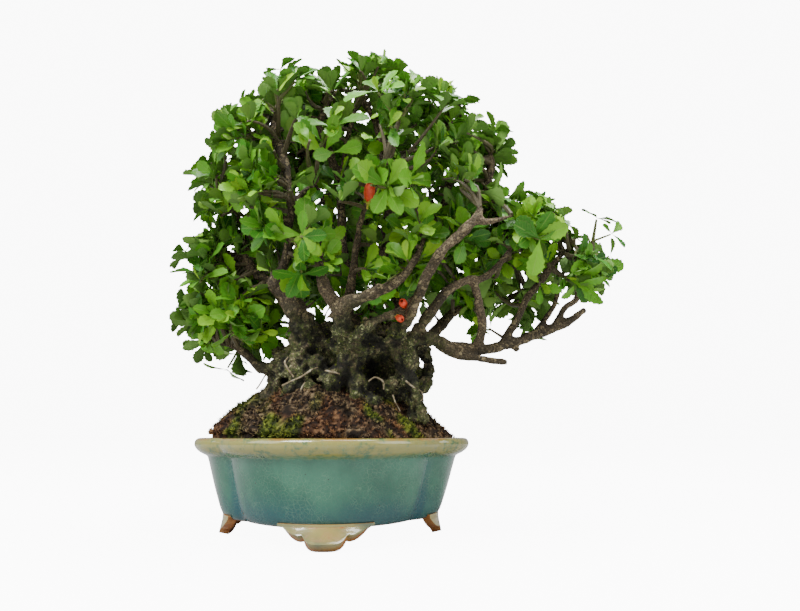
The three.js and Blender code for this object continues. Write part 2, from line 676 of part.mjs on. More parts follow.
function buildCalyx(bloom, woodRoom) {
  const axis = bloom.axis.clone().normalize();
  const [first, second] = axesAcross(axis);
  const along = (distance) => bloom.at.clone().addScaledVector(axis, distance);
  const rows = [[-bloom.stalk, 0.9], [-2.6, 1], [-1.6, 2.2], [-FIT_GAP, 2.6]];
  const rings = rows.map(([distance, radius]) => ringAround(along(distance), first, second, radius, 5));
  return largestPiece(skinOver(rings).subtract(woodRoom));
}

// Materials

function finish(color, roughness) {
  return new THREE.MeshStandardMaterial({ color, roughness, metalness: 0, flatShading: true });
}

const GLAZE = finish(0x4f9383, 0.25);
const SOIL = finish(0x4a3524, 0.95);
const MOSS = finish(0x5b4526, 0.95);
const BARK = finish(0x6f6152, 0.9);
const LEAF = finish(0x4f8f2f, 0.45);
const PETAL = finish(0xe2451f, 0.5);
const CALYX = finish(0x9fae3a, 0.5);
const SCREEN = finish(0x2b2b2b, 0.6);

function meshOf(name, solid, material) {
  const { vertProperties, triVerts } = solid.getMesh();
  const geometry = new THREE.BufferGeometry();
  geometry.setAttribute("position", new THREE.BufferAttribute(vertProperties, 3));
  geometry.setIndex(new THREE.BufferAttribute(triVerts, 1));
  geometry.computeVertexNormals();
  const mesh = new THREE.Mesh(geometry, material.clone());
  mesh.name = name;
  return mesh;
}

function placed(solid) {
  return { solid, bounds: boundsOf(solid) };
}

const wood = buildWood(0);
const woodRoom = buildWood(FIT_GAP);

const bonsai = new THREE.Group();
bonsai.add(meshOf("pot", buildPot(), GLAZE));
bonsai.add(meshOf("drain_screen_left", buildScreen(-DRAIN_X), SCREEN));
bonsai.add(meshOf("drain_screen_right", buildScreen(DRAIN_X), SCREEN));
bonsai.add(meshOf("potting_soil", buildSoil(woodRoom), SOIL));
bonsai.add(meshOf("moss_mound", buildMoss(woodRoom), MOSS));
bonsai.add(meshOf("trunk_and_branches", wood, BARK));

const grown = [];
BLOOMS.forEach((bloom, i) => {
  const petals = buildPetals(bloom);
  const calyx = buildCalyx(bloom, woodRoom);
  bonsai.add(meshOf(`bloom_${i + 1}_petals`, petals, PETAL));
  bonsai.add(meshOf(`bloom_${i + 1}_calyx`, calyx, CALYX));
  grown.push(placed(petals), placed(calyx));
});

sprayPlaces().forEach((place, i) => {
  const spray = largestPiece(buildSpray(place, i + 1, grown, placed(wood)).subtract(woodRoom));
  bonsai.add(meshOf(`spray_${String(i + 1).padStart(2, "0")}`, spray, LEAF));
  grown.push(placed(spray));
});

// The origin goes under the middle of the bounds, on the surface that the feet stand on
const middle = new THREE.Box3().setFromObject(bonsai).getCenter(vec(0, 0, 0));
bonsai.position.set(-middle.x, -middle.y, 0);

export default bonsai;
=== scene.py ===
# %% [markdown]
# # An old flowering quince in a glazed pot
#
# A dwarf quince, grown for decades as a clump of stems in a shallow pot. The part that is loaded first
# already says how large each thing is and where it stands, as plain solids: pot, soil, moss mound, wood
# and leafy sprays. Each of them gets the surface of the real one here, in the same place.

# %% Load the part
import json
import math
from contextlib import contextmanager

import bpy
import numpy as np
from mathutils import Matrix, Vector, kdtree, noise
from mathutils.bvhtree import BVHTree

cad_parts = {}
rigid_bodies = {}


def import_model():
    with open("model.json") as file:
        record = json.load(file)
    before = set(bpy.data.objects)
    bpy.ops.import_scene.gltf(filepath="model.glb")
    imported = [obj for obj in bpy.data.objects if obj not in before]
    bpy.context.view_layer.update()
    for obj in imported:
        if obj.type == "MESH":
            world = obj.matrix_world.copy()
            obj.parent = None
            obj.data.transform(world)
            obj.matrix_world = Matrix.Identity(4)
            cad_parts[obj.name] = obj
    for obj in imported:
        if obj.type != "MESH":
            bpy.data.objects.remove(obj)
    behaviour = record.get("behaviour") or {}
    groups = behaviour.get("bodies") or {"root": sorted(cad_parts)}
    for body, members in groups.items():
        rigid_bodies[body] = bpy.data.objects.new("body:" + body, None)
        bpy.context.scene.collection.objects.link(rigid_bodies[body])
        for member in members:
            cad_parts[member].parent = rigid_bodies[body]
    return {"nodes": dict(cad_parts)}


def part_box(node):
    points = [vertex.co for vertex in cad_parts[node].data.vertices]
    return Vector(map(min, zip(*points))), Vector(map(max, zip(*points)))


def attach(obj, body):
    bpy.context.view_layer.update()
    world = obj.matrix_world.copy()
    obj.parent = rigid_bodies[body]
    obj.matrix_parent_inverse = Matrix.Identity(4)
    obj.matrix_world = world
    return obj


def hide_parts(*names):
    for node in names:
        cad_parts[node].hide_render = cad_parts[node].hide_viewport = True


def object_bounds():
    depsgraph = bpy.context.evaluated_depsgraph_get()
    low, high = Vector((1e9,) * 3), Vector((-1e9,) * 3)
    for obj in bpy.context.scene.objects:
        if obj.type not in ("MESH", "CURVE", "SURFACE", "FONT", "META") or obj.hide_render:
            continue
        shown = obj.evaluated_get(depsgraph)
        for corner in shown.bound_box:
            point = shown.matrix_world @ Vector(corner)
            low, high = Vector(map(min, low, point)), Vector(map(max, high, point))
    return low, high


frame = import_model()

CAD_LOW, CAD_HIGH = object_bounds()
print("the part measures", [round(side * 1000) for side in CAD_HIGH - CAD_LOW], "mm")

# %% [markdown]
# ## Measures
#
# The part's origin lies under the middle of pot and tree together, and the tree leans to the right. It is
# easier to think from the middle of the pot, in millimetres, so one function turns such a place into the
# part's metres. A second one gives the same draw from 0 to 1 each time it gets the same number: with it,
# leaves look scattered, and yet every run gives the same plant. Blender's noise along a direction starts
# from the clock unless it gets a seed, so it gets one too.

# %% Places and draws
MM = 0.001
UP = Vector((0, 0, 1))
GOLDEN_TURN = 2.39996
NOISE_SEED = 4
noise.seed_set(NOISE_SEED)
POT_LOW, POT_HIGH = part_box("pot")
POT_MIDDLE = Vector(((POT_LOW.x + POT_HIGH.x) / 2, (POT_LOW.y + POT_HIGH.y) / 2, 0))


def mm(x, y, z):
    return POT_MIDDLE + Vector((x, y, z)) * MM


def draw(seed):
    wave = math.sin(seed * 127.1) * 43758.5453
    return wave - math.floor(wave)


def scatter(seed):
    """A small step in any direction."""
    return Vector((draw(seed) - 0.5, draw(seed + 1) - 0.5, draw(seed + 2) - 0.5))


def mix(low, high, share):
    return low + (high - low) * share


# %% [markdown]
# ## Camera, floor and light
#
# The tree was seen from low down, with the rim of the pot just above eye level, through a fairly wide lens
# that looks up. The light is that of a white studio: bright all round, and brightest from above and from
# the left, so that the leaves shine on top and the inside of the crown stays dark.
#
# A floor and a room as white as the studio would also mirror in every leaf and wash its green out. So they
# glow for the camera alone: a Light Path node says whether a ray comes straight from it. For all other rays
# the floor is grey and the room is a soft light.

# %% Camera
EYE = Vector((30.56, -482.26, 78.4))
LOOKS_UP = 13.153
LOOKS_RIGHT = 3
LENS = 24.75
turned = (math.radians(90 + LOOKS_UP), 0, math.radians(-LOOKS_RIGHT))
bpy.ops.object.camera_add(location=mm(*EYE), rotation=turned)
camera = bpy.context.object
camera.data.sensor_width = 36
camera.data.lens = LENS
camera.data.clip_start = 0.01
bpy.context.scene.camera = camera

# %% Floor
FLOOR_SIZE = 14
SEEN_WHITE = 10
bpy.ops.mesh.primitive_plane_add(size=FLOOR_SIZE, location=(0, 0, 0))
floor = bpy.context.object
floor.name = "floor"
paper_white = bpy.data.materials.new("Paper white")
paper_white.use_nodes = True
paper = paper_white.node_tree.nodes["Principled BSDF"].inputs
paper["Base Color"].default_value = (0.4, 0.4, 0.4, 1)
paper["Roughness"].default_value = 0.9
paper["Emission Strength"].default_value = SEEN_WHITE
seen = paper_white.node_tree.nodes.new("ShaderNodeLightPath").outputs["Is Camera Ray"]
paper_white.node_tree.links.new(seen, paper["Emission Color"])
floor.data.materials.append(paper_white)

# %% Light
ROOM_LIGHT = 0.5
sky = bpy.data.worlds.new("White room")
sky.use_nodes = True
sky_nodes = sky.node_tree.nodes
bright = sky_nodes.new("ShaderNodeMapRange")
bright.inputs["To Min"].default_value = ROOM_LIGHT
bright.inputs["To Max"].default_value = SEEN_WHITE
seen = sky_nodes.new("ShaderNodeLightPath").outputs["Is Camera Ray"]
sky.node_tree.links.new(seen, bright.inputs["Value"])
sky.node_tree.links.new(bright.outputs["Result"], sky_nodes["Background"].inputs["Strength"])
sky_nodes["Background"].inputs["Color"].default_value = (1, 1, 1, 1)
bpy.context.scene.world = sky

# Where each lamp stands, its width and its power in watts; all of them point at the crown
LAMPS = {
    "key": ((-0.75, -0.85, 1.35), 0.6, 36),
    "top": ((0.25, -0.1, 1.5), 0.8, 40),
    "left": ((-1.2, -0.5, 0.8), 0.8, 9),
    "right": ((1.1, -0.6, 0.7), 0.8, 9),
}
CROWN = Vector((0, 0, 0.27))
for name, (place, width, watts) in LAMPS.items():
    bpy.ops.object.light_add(type="AREA", location=place)
    lamp = bpy.context.object
    lamp.name = name
    lamp.data.size = width
    lamp.data.energy = watts
    lamp.rotation_euler = (CROWN - Vector(place)).to_track_quat("-Z", "Y").to_euler()

# %% [markdown]
# ## Materials as sums
#
# A material is a net of nodes, and most of it is arithmetic: where is the surface, how far is it from
# there, how much of this colour. Written as nodes that takes pages. So one small class wraps a node's
# output, and a sum such as `1 - spots * 0.5` adds the Math nodes by itself. Every other node comes from
# its method `node`: the kind of node, its settings, and what goes into its sockets.


# %% The class for sums
class Wire:
    """The output of a node, which takes part in sums."""

    def __init__(self, tree, output=None):
        self.tree = tree
        self.output = output

    def node(self, kind, sockets, out=0, stops=None, **settings):
        made = self.tree.nodes.new(kind)
        for setting, value in settings.items():
            setattr(made, setting, value)
        if stops:
            ramp = made.color_ramp
            while len(ramp.elements) < len(stops):
                ramp.elements.new(0.5)
            for element, (place, shade) in zip(ramp.elements, stops):
                element.position = place
                element.color = (*shade[:3], 1)
        for socket, value in sockets.items():
            if isinstance(value, Wire):
                self.tree.links.new(value.output, made.inputs[socket])
            else:
                made.inputs[socket].default_value = value
        return Wire(self.tree, made.outputs[out])

    def maths(self, operation, *values):
        return self.node("ShaderNodeMath", dict(enumerate(values)), operation=operation)

    def __add__(self, other):
        return self.maths("ADD", self, other)

    def __sub__(self, other):
        return self.maths("SUBTRACT", self, other)

    def __rsub__(self, other):
        return self.maths("SUBTRACT", other, self)

    def __mul__(self, other):
        return self.maths("MULTIPLY", self, other)

    def __truediv__(self, other):
        return self.maths("DIVIDE", self, other)

    def __abs__(self):
        return self.maths("ABSOLUTE", self)

    __radd__ = __add__
    __rmul__ = __mul__

    def rises(self, low, high):
        """0 where this is low or less, 1 where it is high or more, and a soft step between."""
        sockets = {"Value": self, "From Min": low, "From Max": high}
        return self.node("ShaderNodeMapRange", sockets, interpolation_type="SMOOTHSTEP")

    def ramp(self, *stops):
        return self.node("ShaderNodeValToRGB", {0: self}, stops=stops)

    def blend(self, first, second):
        """The first colour where this is 0 and the second where it is 1."""
        sockets = {0: self, 6: first, 7: second}
        return self.node("ShaderNodeMix", sockets, out=2, data_type="RGBA")

    def parts(self):
        return [self.node("ShaderNodeSeparateXYZ", {0: self}, out=axis) for axis in range(3)]

    def grain(self, size, detail=4, roughness=0.55):
        """Cloudy noise from 0 to 1, with spots of about that size in millimetres."""
        sockets = {"Vector": self, "Scale": 1 / (size * MM), "Detail": detail, "Roughness": roughness}
        return self.node("ShaderNodeTexNoise", sockets)

    def cells(self, size, feature="F1"):
        """Distance to the middle of the nearest cell, for cells of that size."""
        return self.node("ShaderNodeTexVoronoi", {"Vector": self, "Scale": 1 / (size * MM)}, feature=feature)

    def cracks(self, size, width):
        """1 along the edges of cells of that size, 0 inside them."""
        return 1 - self.cells(size, "DISTANCE_TO_EDGE").rises(0.01, width)

    def bump(self, depth, strength=1):
        """Normals for a surface that this number lifts by up to depth millimetres."""
        sockets = {"Height": self, "Distance": depth * MM, "Strength": strength}
        return self.node("ShaderNodeBump", sockets, out="Normal")


def new_material(name):
    """A material, its shader's sockets by name, and the place on the object as a wire."""
    material = bpy.data.materials.new(name)
    material.use_nodes = True
    tree = material.node_tree
    place = Wire(tree).node("ShaderNodeTexCoord", {}, out="Object")
    return material, tree.nodes["Principled BSDF"].inputs, place


def marks_in(place):
    """Three numbers that the faces or points of a piece keep in the attribute "mark"."""
    mark = place.node("ShaderNodeAttribute", {}, out="Color", attribute_name="mark")
    return [mark.node("ShaderNodeSeparateColor", {0: mark}, out=part) for part in range(3)]


def feed(sockets, **values):
    """Puts wires or plain values in the shader's sockets, as in Base_Color=...."""
    for name, value in values.items():
        socket = sockets[name.replace("_", " ")]
        if isinstance(value, Wire):
            value.tree.links.new(value.output, socket)
        else:
            socket.default_value = value


def colour(red, green, blue):
    """A colour given on the scale from 0 to 255, in the numbers that light adds up in."""
    return (*[(part / 255) ** 2.2 for part in (red, green, blue)], 1)


# %% [markdown]
# ## Making pieces
#
# A few things happen for every piece: nothing else may be selected when a new primitive comes, a modifier
# is added and applied, and the finished piece gets its material, rides on the part and hides the plain
# solid it stands for.


# %% Helpers for pieces
def fresh():
    if bpy.context.mode != "OBJECT":
        bpy.ops.object.mode_set(mode="OBJECT")
    bpy.ops.object.select_all(action="DESELECT")


def only(piece):
    fresh()
    piece.select_set(True)
    bpy.context.view_layer.objects.active = piece


@contextmanager
def editing():
    """Edit mode with everything selected, and object mode again at the end."""
    bpy.ops.object.mode_set(mode="EDIT")
    bpy.ops.mesh.select_all(action="SELECT")
    yield
    bpy.ops.object.mode_set(mode="OBJECT")


def modified(piece, kind, **settings):
    """Adds a modifier with these settings and applies it."""
    only(piece)
    modifier = piece.modifiers.new(kind.title(), kind)
    for setting, value in settings.items():
        setattr(modifier, setting, value)
    bpy.ops.object.modifier_apply(modifier=modifier.name)
    return piece


def joined(name, pieces):
    only(pieces[0])
    for piece in pieces:
        piece.select_set(True)
    bpy.ops.object.join()
    bpy.context.object.name = name
    return bpy.context.object


def smooth(piece, angle):
    only(piece)
    bpy.ops.object.shade_smooth_by_angle(angle=math.radians(angle))
    return piece


def finished(piece, material, slot, *nodes):
    piece.data.materials.clear()
    piece.data.materials.append(material)
    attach(piece, "root")
    if nodes:
        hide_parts(*nodes)
    triangles = sum(len(face.vertices) - 2 for face in piece.data.polygons)
    print(f"{piece.name}: {triangles} triangles")


def smoothed(rows, steps):
    """A smooth run through rows of numbers, with that many steps between two rows."""
    rows = np.array(rows, float)
    rows = np.vstack([2 * rows[0] - rows[1], rows, 2 * rows[-1] - rows[-2]])
    run = []
    for before, start, end, after in zip(rows, rows[1:], rows[2:], rows[3:]):
        for share in np.arange(steps) / steps:
            line = (end - before) * share
            bend = (2 * before - 5 * start + 4 * end - after) * share**2
            twist = (3 * start - before - 3 * end + after) * share**3
            run.append(start + 0.5 * (line + bend + twist))
    return np.array([*run, rows[-2]])


# %% [markdown]
# ## The pot's body
#
# The pot is pressed and turned clay: a four-lobed bowl with a waisted wall and a lip that rolls out. Every
# height of it has the same outline, larger or smaller. So the outline is drawn once as a ring, four arcs
# that meet in creases, and then raised: extrude a little, scale a little, up the outside, over the lip and
# down the inside. That is how a potter's profile works too.

# %% Outline of the lobes
HALF_WIDTH = 114
HALF_DEPTH = 94
CREASE_X = 84
CREASE_Y = 47


def lobed_outline(front_steps, side_steps):
    """Points of the pot's widest line, each lobe an arc between two creases."""
    crease_far = CREASE_X**2 + CREASE_Y**2
    front = (crease_far - HALF_DEPTH**2) / (2 * (HALF_DEPTH - CREASE_Y))
    side = (HALF_WIDTH**2 - crease_far) / (2 * (HALF_WIDTH - CREASE_X))
    front_radius = HALF_DEPTH + front
    side_radius = HALF_WIDTH - side
    front_reach = math.asin(CREASE_X / front_radius)
    side_reach = math.asin(CREASE_Y / side_radius)
    outline = []
    for quarter in range(4):
        is_front = quarter % 2 == 1
        steps, reach = (front_steps, front_reach) if is_front else (side_steps, side_reach)
        radius, away = (front_radius, -front) if is_front else (side_radius, side)
        for step in range(steps):
            turn = quarter * math.pi / 2 + reach * (2 * step / steps - 1)
            middle = quarter * math.pi / 2
            x = away * math.cos(middle) + radius * math.cos(turn)
            y = away * math.sin(middle) + radius * math.sin(turn)
            outline.append((x, y))
    return outline


def raised(name, outline, rows, middle_x=0):
    """A closed stack of rings: each row has the outline's share across and back, and a height in mm."""
    fresh()
    bpy.ops.mesh.primitive_circle_add(vertices=len(outline), fill_type="NGON", location=(0, 0, 0))
    piece = bpy.context.object
    piece.name = name
    across, back, height = rows[0]
    for vertex, (x, y) in zip(piece.data.vertices, outline):
        vertex.co = mm(middle_x + x * across, y * back, height)
    with editing():
        for row, next_row in zip(rows, rows[1:]):
            rise = {"value": (0, 0, (next_row[2] - row[2]) * MM)}
            bpy.ops.mesh.extrude_region_move(TRANSFORM_OT_translate=rise)
            growth = (next_row[0] / row[0], next_row[1] / row[1], 1)
            bpy.ops.transform.resize(value=growth, center_override=mm(middle_x, 0, 0))
        bpy.ops.mesh.select_all(action="SELECT")
        bpy.ops.mesh.normals_make_consistent(inside=False)
    return piece


# %% Body of the pot
# Half-width and height in millimetres: bottom, wall, neck, lip, and down the inside to the floor
POT_PROFILE = [
    (80, 13.5), (83.6, 13.9), (86.6, 15.8), (89.4, 20), (92.4, 28), (96.4, 40), (100, 52), (102.2, 59),
    (103.6, 61.4), (107.6, 63.4), (111.4, 66), (113.7, 69.2), (113.9, 72.2), (112.4, 74.6), (109.4, 75.4),
    (106.6, 74.4), (104.2, 71.6), (101.4, 66.6), (98.4, 58), (92.4, 42), (87, 29), (83.6, 23), (78, 21),
]
pot_rows = [(half / HALF_WIDTH, half / HALF_WIDTH, height) for half, height in smoothed(POT_PROFILE, 3)]
pot = raised("pot_body", lobed_outline(42, 26), pot_rows)
DRAIN_X = 42
DRAIN_RADIUS = 9 * MM
DRAIN_DEPTH = 20 * MM
for drain_x in (-DRAIN_X, DRAIN_X):
    fresh()
    place = mm(drain_x, 0, 17)
    bpy.ops.mesh.primitive_cylinder_add(vertices=40, radius=DRAIN_RADIUS, depth=DRAIN_DEPTH, location=place)
    drain = bpy.context.object
    modified(pot, "BOOLEAN", operation="DIFFERENCE", object=drain, solver="EXACT")
    bpy.data.objects.remove(drain)
smooth(pot, 28)
print("pot body:", len(pot.data.polygons), "faces")

# %% [markdown]
# ## The pot's feet
#
# Under each lobe stands a foot cut like a cloud, with a step between its three scallops. A flat grid is
# pulled down to that outline, curved to follow the lobe and flared outwards, then given its thickness and
# a soft edge. Under the front and back the feet are wide and flare most.

# %% Cloud-shaped feet
# The lower edge from the middle out: distance along the foot and height
CENTRE_SCALLOP = [(0, 0), (6.5, 0.15), (10.5, 1.1), (13.2, 3.2), (14.4, 5.6)]
OUTER_SCALLOP = [(14.4, 5.6), (17.5, 5.2), (22, 6.4), (26.5, 9.2), (30, 12.8), (32, 16.5)]
FOOT_EDGE = np.vstack([smoothed(CENTRE_SCALLOP, 4), smoothed(OUTER_SCALLOP, 4)[1:]])
FOOT_REACH = 31.5
FOOT_TOP = 17
FOOT_HEIGHT = 13.5


def cloud_foot(lobe_distance, lobe_radius, width_share, flare, turn):
    """A foot under a lobe that far out and that round, flared by so many mm and turned by quarter turns."""
    fresh()
    bpy.ops.mesh.primitive_grid_add(x_subdivisions=56, y_subdivisions=8, size=2, location=(0, 0, 0))
    foot = bpy.context.object
    for vertex in foot.data.vertices:
        along = vertex.co.x * FOOT_REACH
        lower = float(np.interp(abs(along), FOOT_EDGE[:, 0], FOOT_EDGE[:, 1]))
        height = mix(lower, FOOT_TOP, (vertex.co.y + 1) / 2)
        across = along * width_share
        share = min(height / FOOT_HEIGHT, 1)
        bow = lobe_radius - math.sqrt(lobe_radius**2 - across**2)
        outward = lobe_distance - 2 - bow + flare * (1 - share) ** 1.3
        vertex.co = (outward * MM, across * MM, height * MM)
    modified(foot, "SOLIDIFY", thickness=7.5 * MM, offset=1)
    modified(foot, "BEVEL", width=1.1 * MM, segments=3, limit_method="ANGLE", angle_limit=math.radians(50))
    foot.data.transform(Matrix.Translation(POT_MIDDLE) @ Matrix.Rotation(math.radians(90 * turn), 4, "Z"))
    return foot


bottom_share = 82 / HALF_WIDTH
SIDE_FOOT = (HALF_WIDTH * bottom_share, 40, 0.78, 2.5)
FRONT_FOOT = (HALF_DEPTH * bottom_share, 73, 1, 12)
feet = [cloud_foot(*foot, turn) for turn, foot in enumerate([SIDE_FOOT, FRONT_FOOT] * 2)]
feet = smooth(joined("pot_feet", feet), 40)

# %% [markdown]
# ## Glaze
#
# The glaze is a sea-green that runs: thin and ochre where the lip is sharp, thicker and bluer low on the
# wall and in the creases, where it gathered in the kiln. A net of hair-fine cracks lies in it. All of that
# depends on height and place, so Object coordinates carry it. The feet stood bare in the kiln: their
# lower edges and their inner sides show orange-tan clay.

# %% Glaze and bare clay
SEA_GREEN = colour(26, 86, 66)
PALE_GREEN = colour(54, 111, 87)
DEEP_TEAL = colour(8, 72, 80)
OCHRE = colour(150, 140, 72)
RUST = colour(146, 92, 38)
CLAY = colour(150, 86, 34)
PALE_CLAY = colour(196, 138, 70)
CRACK = colour(132, 166, 132)


def glaze_material(name, is_foot):
    material, sockets, place = new_material(name)
    x, y, z = place.parts()
    away_x = abs(x - POT_MIDDLE.x)
    away_y = abs(y - POT_MIDDLE.y)
    height = z / MM
    cloud = place.grain(38, detail=3)
    mottle = place.grain(5, detail=5, roughness=0.65)
    glaze = cloud.rises(0.32, 0.7).blend(SEA_GREEN, PALE_GREEN)
    off_crease = abs(away_x * CREASE_Y - away_y * CREASE_X) / (MM * math.hypot(CREASE_X, CREASE_Y))
    crease = 1 - off_crease.rises(0.5, 9)
    low = 1 - (height + cloud * 26).rises(24, 62)
    depth = (low * 0.85 + crease * 0.5 * (1 - height.rises(55, 64))).rises(0, 1.1)
    glaze = depth.blend(glaze, DEEP_TEAL)
    lip = (height + mottle * 7).rises(63.5, 70) * (mottle * 0.6 + cloud * 0.4).rises(0.3, 0.52)
    glaze = (lip * 0.85).blend(glaze, OCHRE)
    worn = (height + mottle * 3).rises(74.2, 76.4) * cloud.rises(0.4, 0.56)
    glaze = (worn * 0.7).blend(glaze, RUST)
    glaze = (mottle.rises(0.55, 0.8) * 0.3).blend(glaze, PALE_GREEN)
    cracks = place.cracks(3.3, 0.06)
    hair = place.cracks(1.6, 0.07)
    streaks = place.grain(16, detail=2).rises(0.4, 0.65)
    glaze = ((cracks * 0.15 + hair * 0.1) * (streaks * 0.8 + 0.2)).blend(glaze, CRACK)
    pits = 1 - place.cells(11).rises(0.03, 0.06)
    glaze = (pits * 0.7).blend(glaze, colour(40, 48, 40))
    normal = (cloud + mottle * 0.12 - pits * 0.2).bump(0.5, 0.35)
    if is_foot:
        clay = mottle.rises(0.3, 0.75).blend(CLAY, PALE_CLAY)
        from_pot = place.node("ShaderNodeCombineXYZ", {0: x - POT_MIDDLE.x, 1: y - POT_MIDDLE.y, 2: 0.0})
        facing = place.node("ShaderNodeNewGeometry", {}, out="Normal")
        outward = place.node("ShaderNodeVectorMath", {0: from_pot, 1: facing}, out="Value",
                             operation="DOT_PRODUCT") / (80 * MM)
        bare = 1 - (outward + mottle * 0.3 - 0.15).rises(0.5, 0.75) * (height + mottle * 3).rises(1.2, 3.4)
        thin = cloud.rises(0.3, 0.6) * 0.6 + 0.25
        rim = 1 - (height + mottle * 3).rises(2.5, 7)
        glaze = (rim * 0.7).blend(thin.blend(glaze, colour(168, 152, 84)), RUST)
        glaze = bare.blend(glaze, clay)
        dull = bare.node("ShaderNodeMapRange", {"Value": bare, "To Min": 0.14, "To Max": 0.75})
        feed(sockets, Roughness=dull)
    else:
        edge = 1 - (height + mottle * 2).rises(14.4, 16.2)
        glaze = edge.blend(glaze, CLAY)
        feed(sockets, Roughness=edge * 0.5 + mottle * 0.14 + 0.1)
    feed(sockets, Base_Color=glaze, Normal=normal, Coat_Weight=0.5, Coat_Roughness=0.06)
    return material


finished(pot, glaze_material("Sea-green glaze", False), "glaze", "pot")
finished(feet, glaze_material("Glaze on bare clay", True), "glaze", "pot")

# %% [markdown]
# ## Soil and drain screens
#
# Potting soil fills the pot to just under the rim, and hardly any of it shows under the moss. Two squares of
# plastic mesh keep it off the drainage holes. The plain solids have the right shape for these, so they
# stay, and only their material changes: crumbs of baked clay for the soil, dull black for the plastic.

# %% Finish of soil and screens
soil_finish, sockets, place = new_material("Crumbly soil")
crumbs = place.cells(3)
speck = place.grain(1.6, detail=3)
feed(sockets, Base_Color=speck.rises(0.35, 0.75).blend(colour(42, 30, 22), colour(112, 84, 60)),
     Roughness=0.95, Normal=(crumbs + speck * 0.4).bump(1.6))
screen_finish, sockets, place = new_material("Black plastic mesh")
scuffs = place.grain(2.5)
feed(sockets, Base_Color=scuffs.blend(colour(18, 18, 19), colour(46, 46, 47)),
     Roughness=scuffs * 0.25 + 0.4, Normal=scuffs.bump(0.1))
FINISHES = {
    "potting_soil": soil_finish,
    "drain_screen_left": screen_finish,
    "drain_screen_right": screen_finish,
}
for node, finish in FINISHES.items():
    frame["nodes"][node].data.materials.clear()
    frame["nodes"][node].data.materials.append(finish)
print("soil and screens keep their solids")

# %% [markdown]
# ## Wood
#
# A clump like this begins as many suckers from one root. They fuse low down into a knotted burl with roots
# running over it, and part above into stems of finger thickness that wind and fork. As living wood it is
# all one piece. The stems are drawn as curves with a radius at every point, which is how a modeller traces
# a branch by hand. The burl is a stack of rings, and roots and knobs are laid over it. Then everything is
# joined and remeshed into one skin, which gives soft collars where limbs meet, and lumps are pushed out.

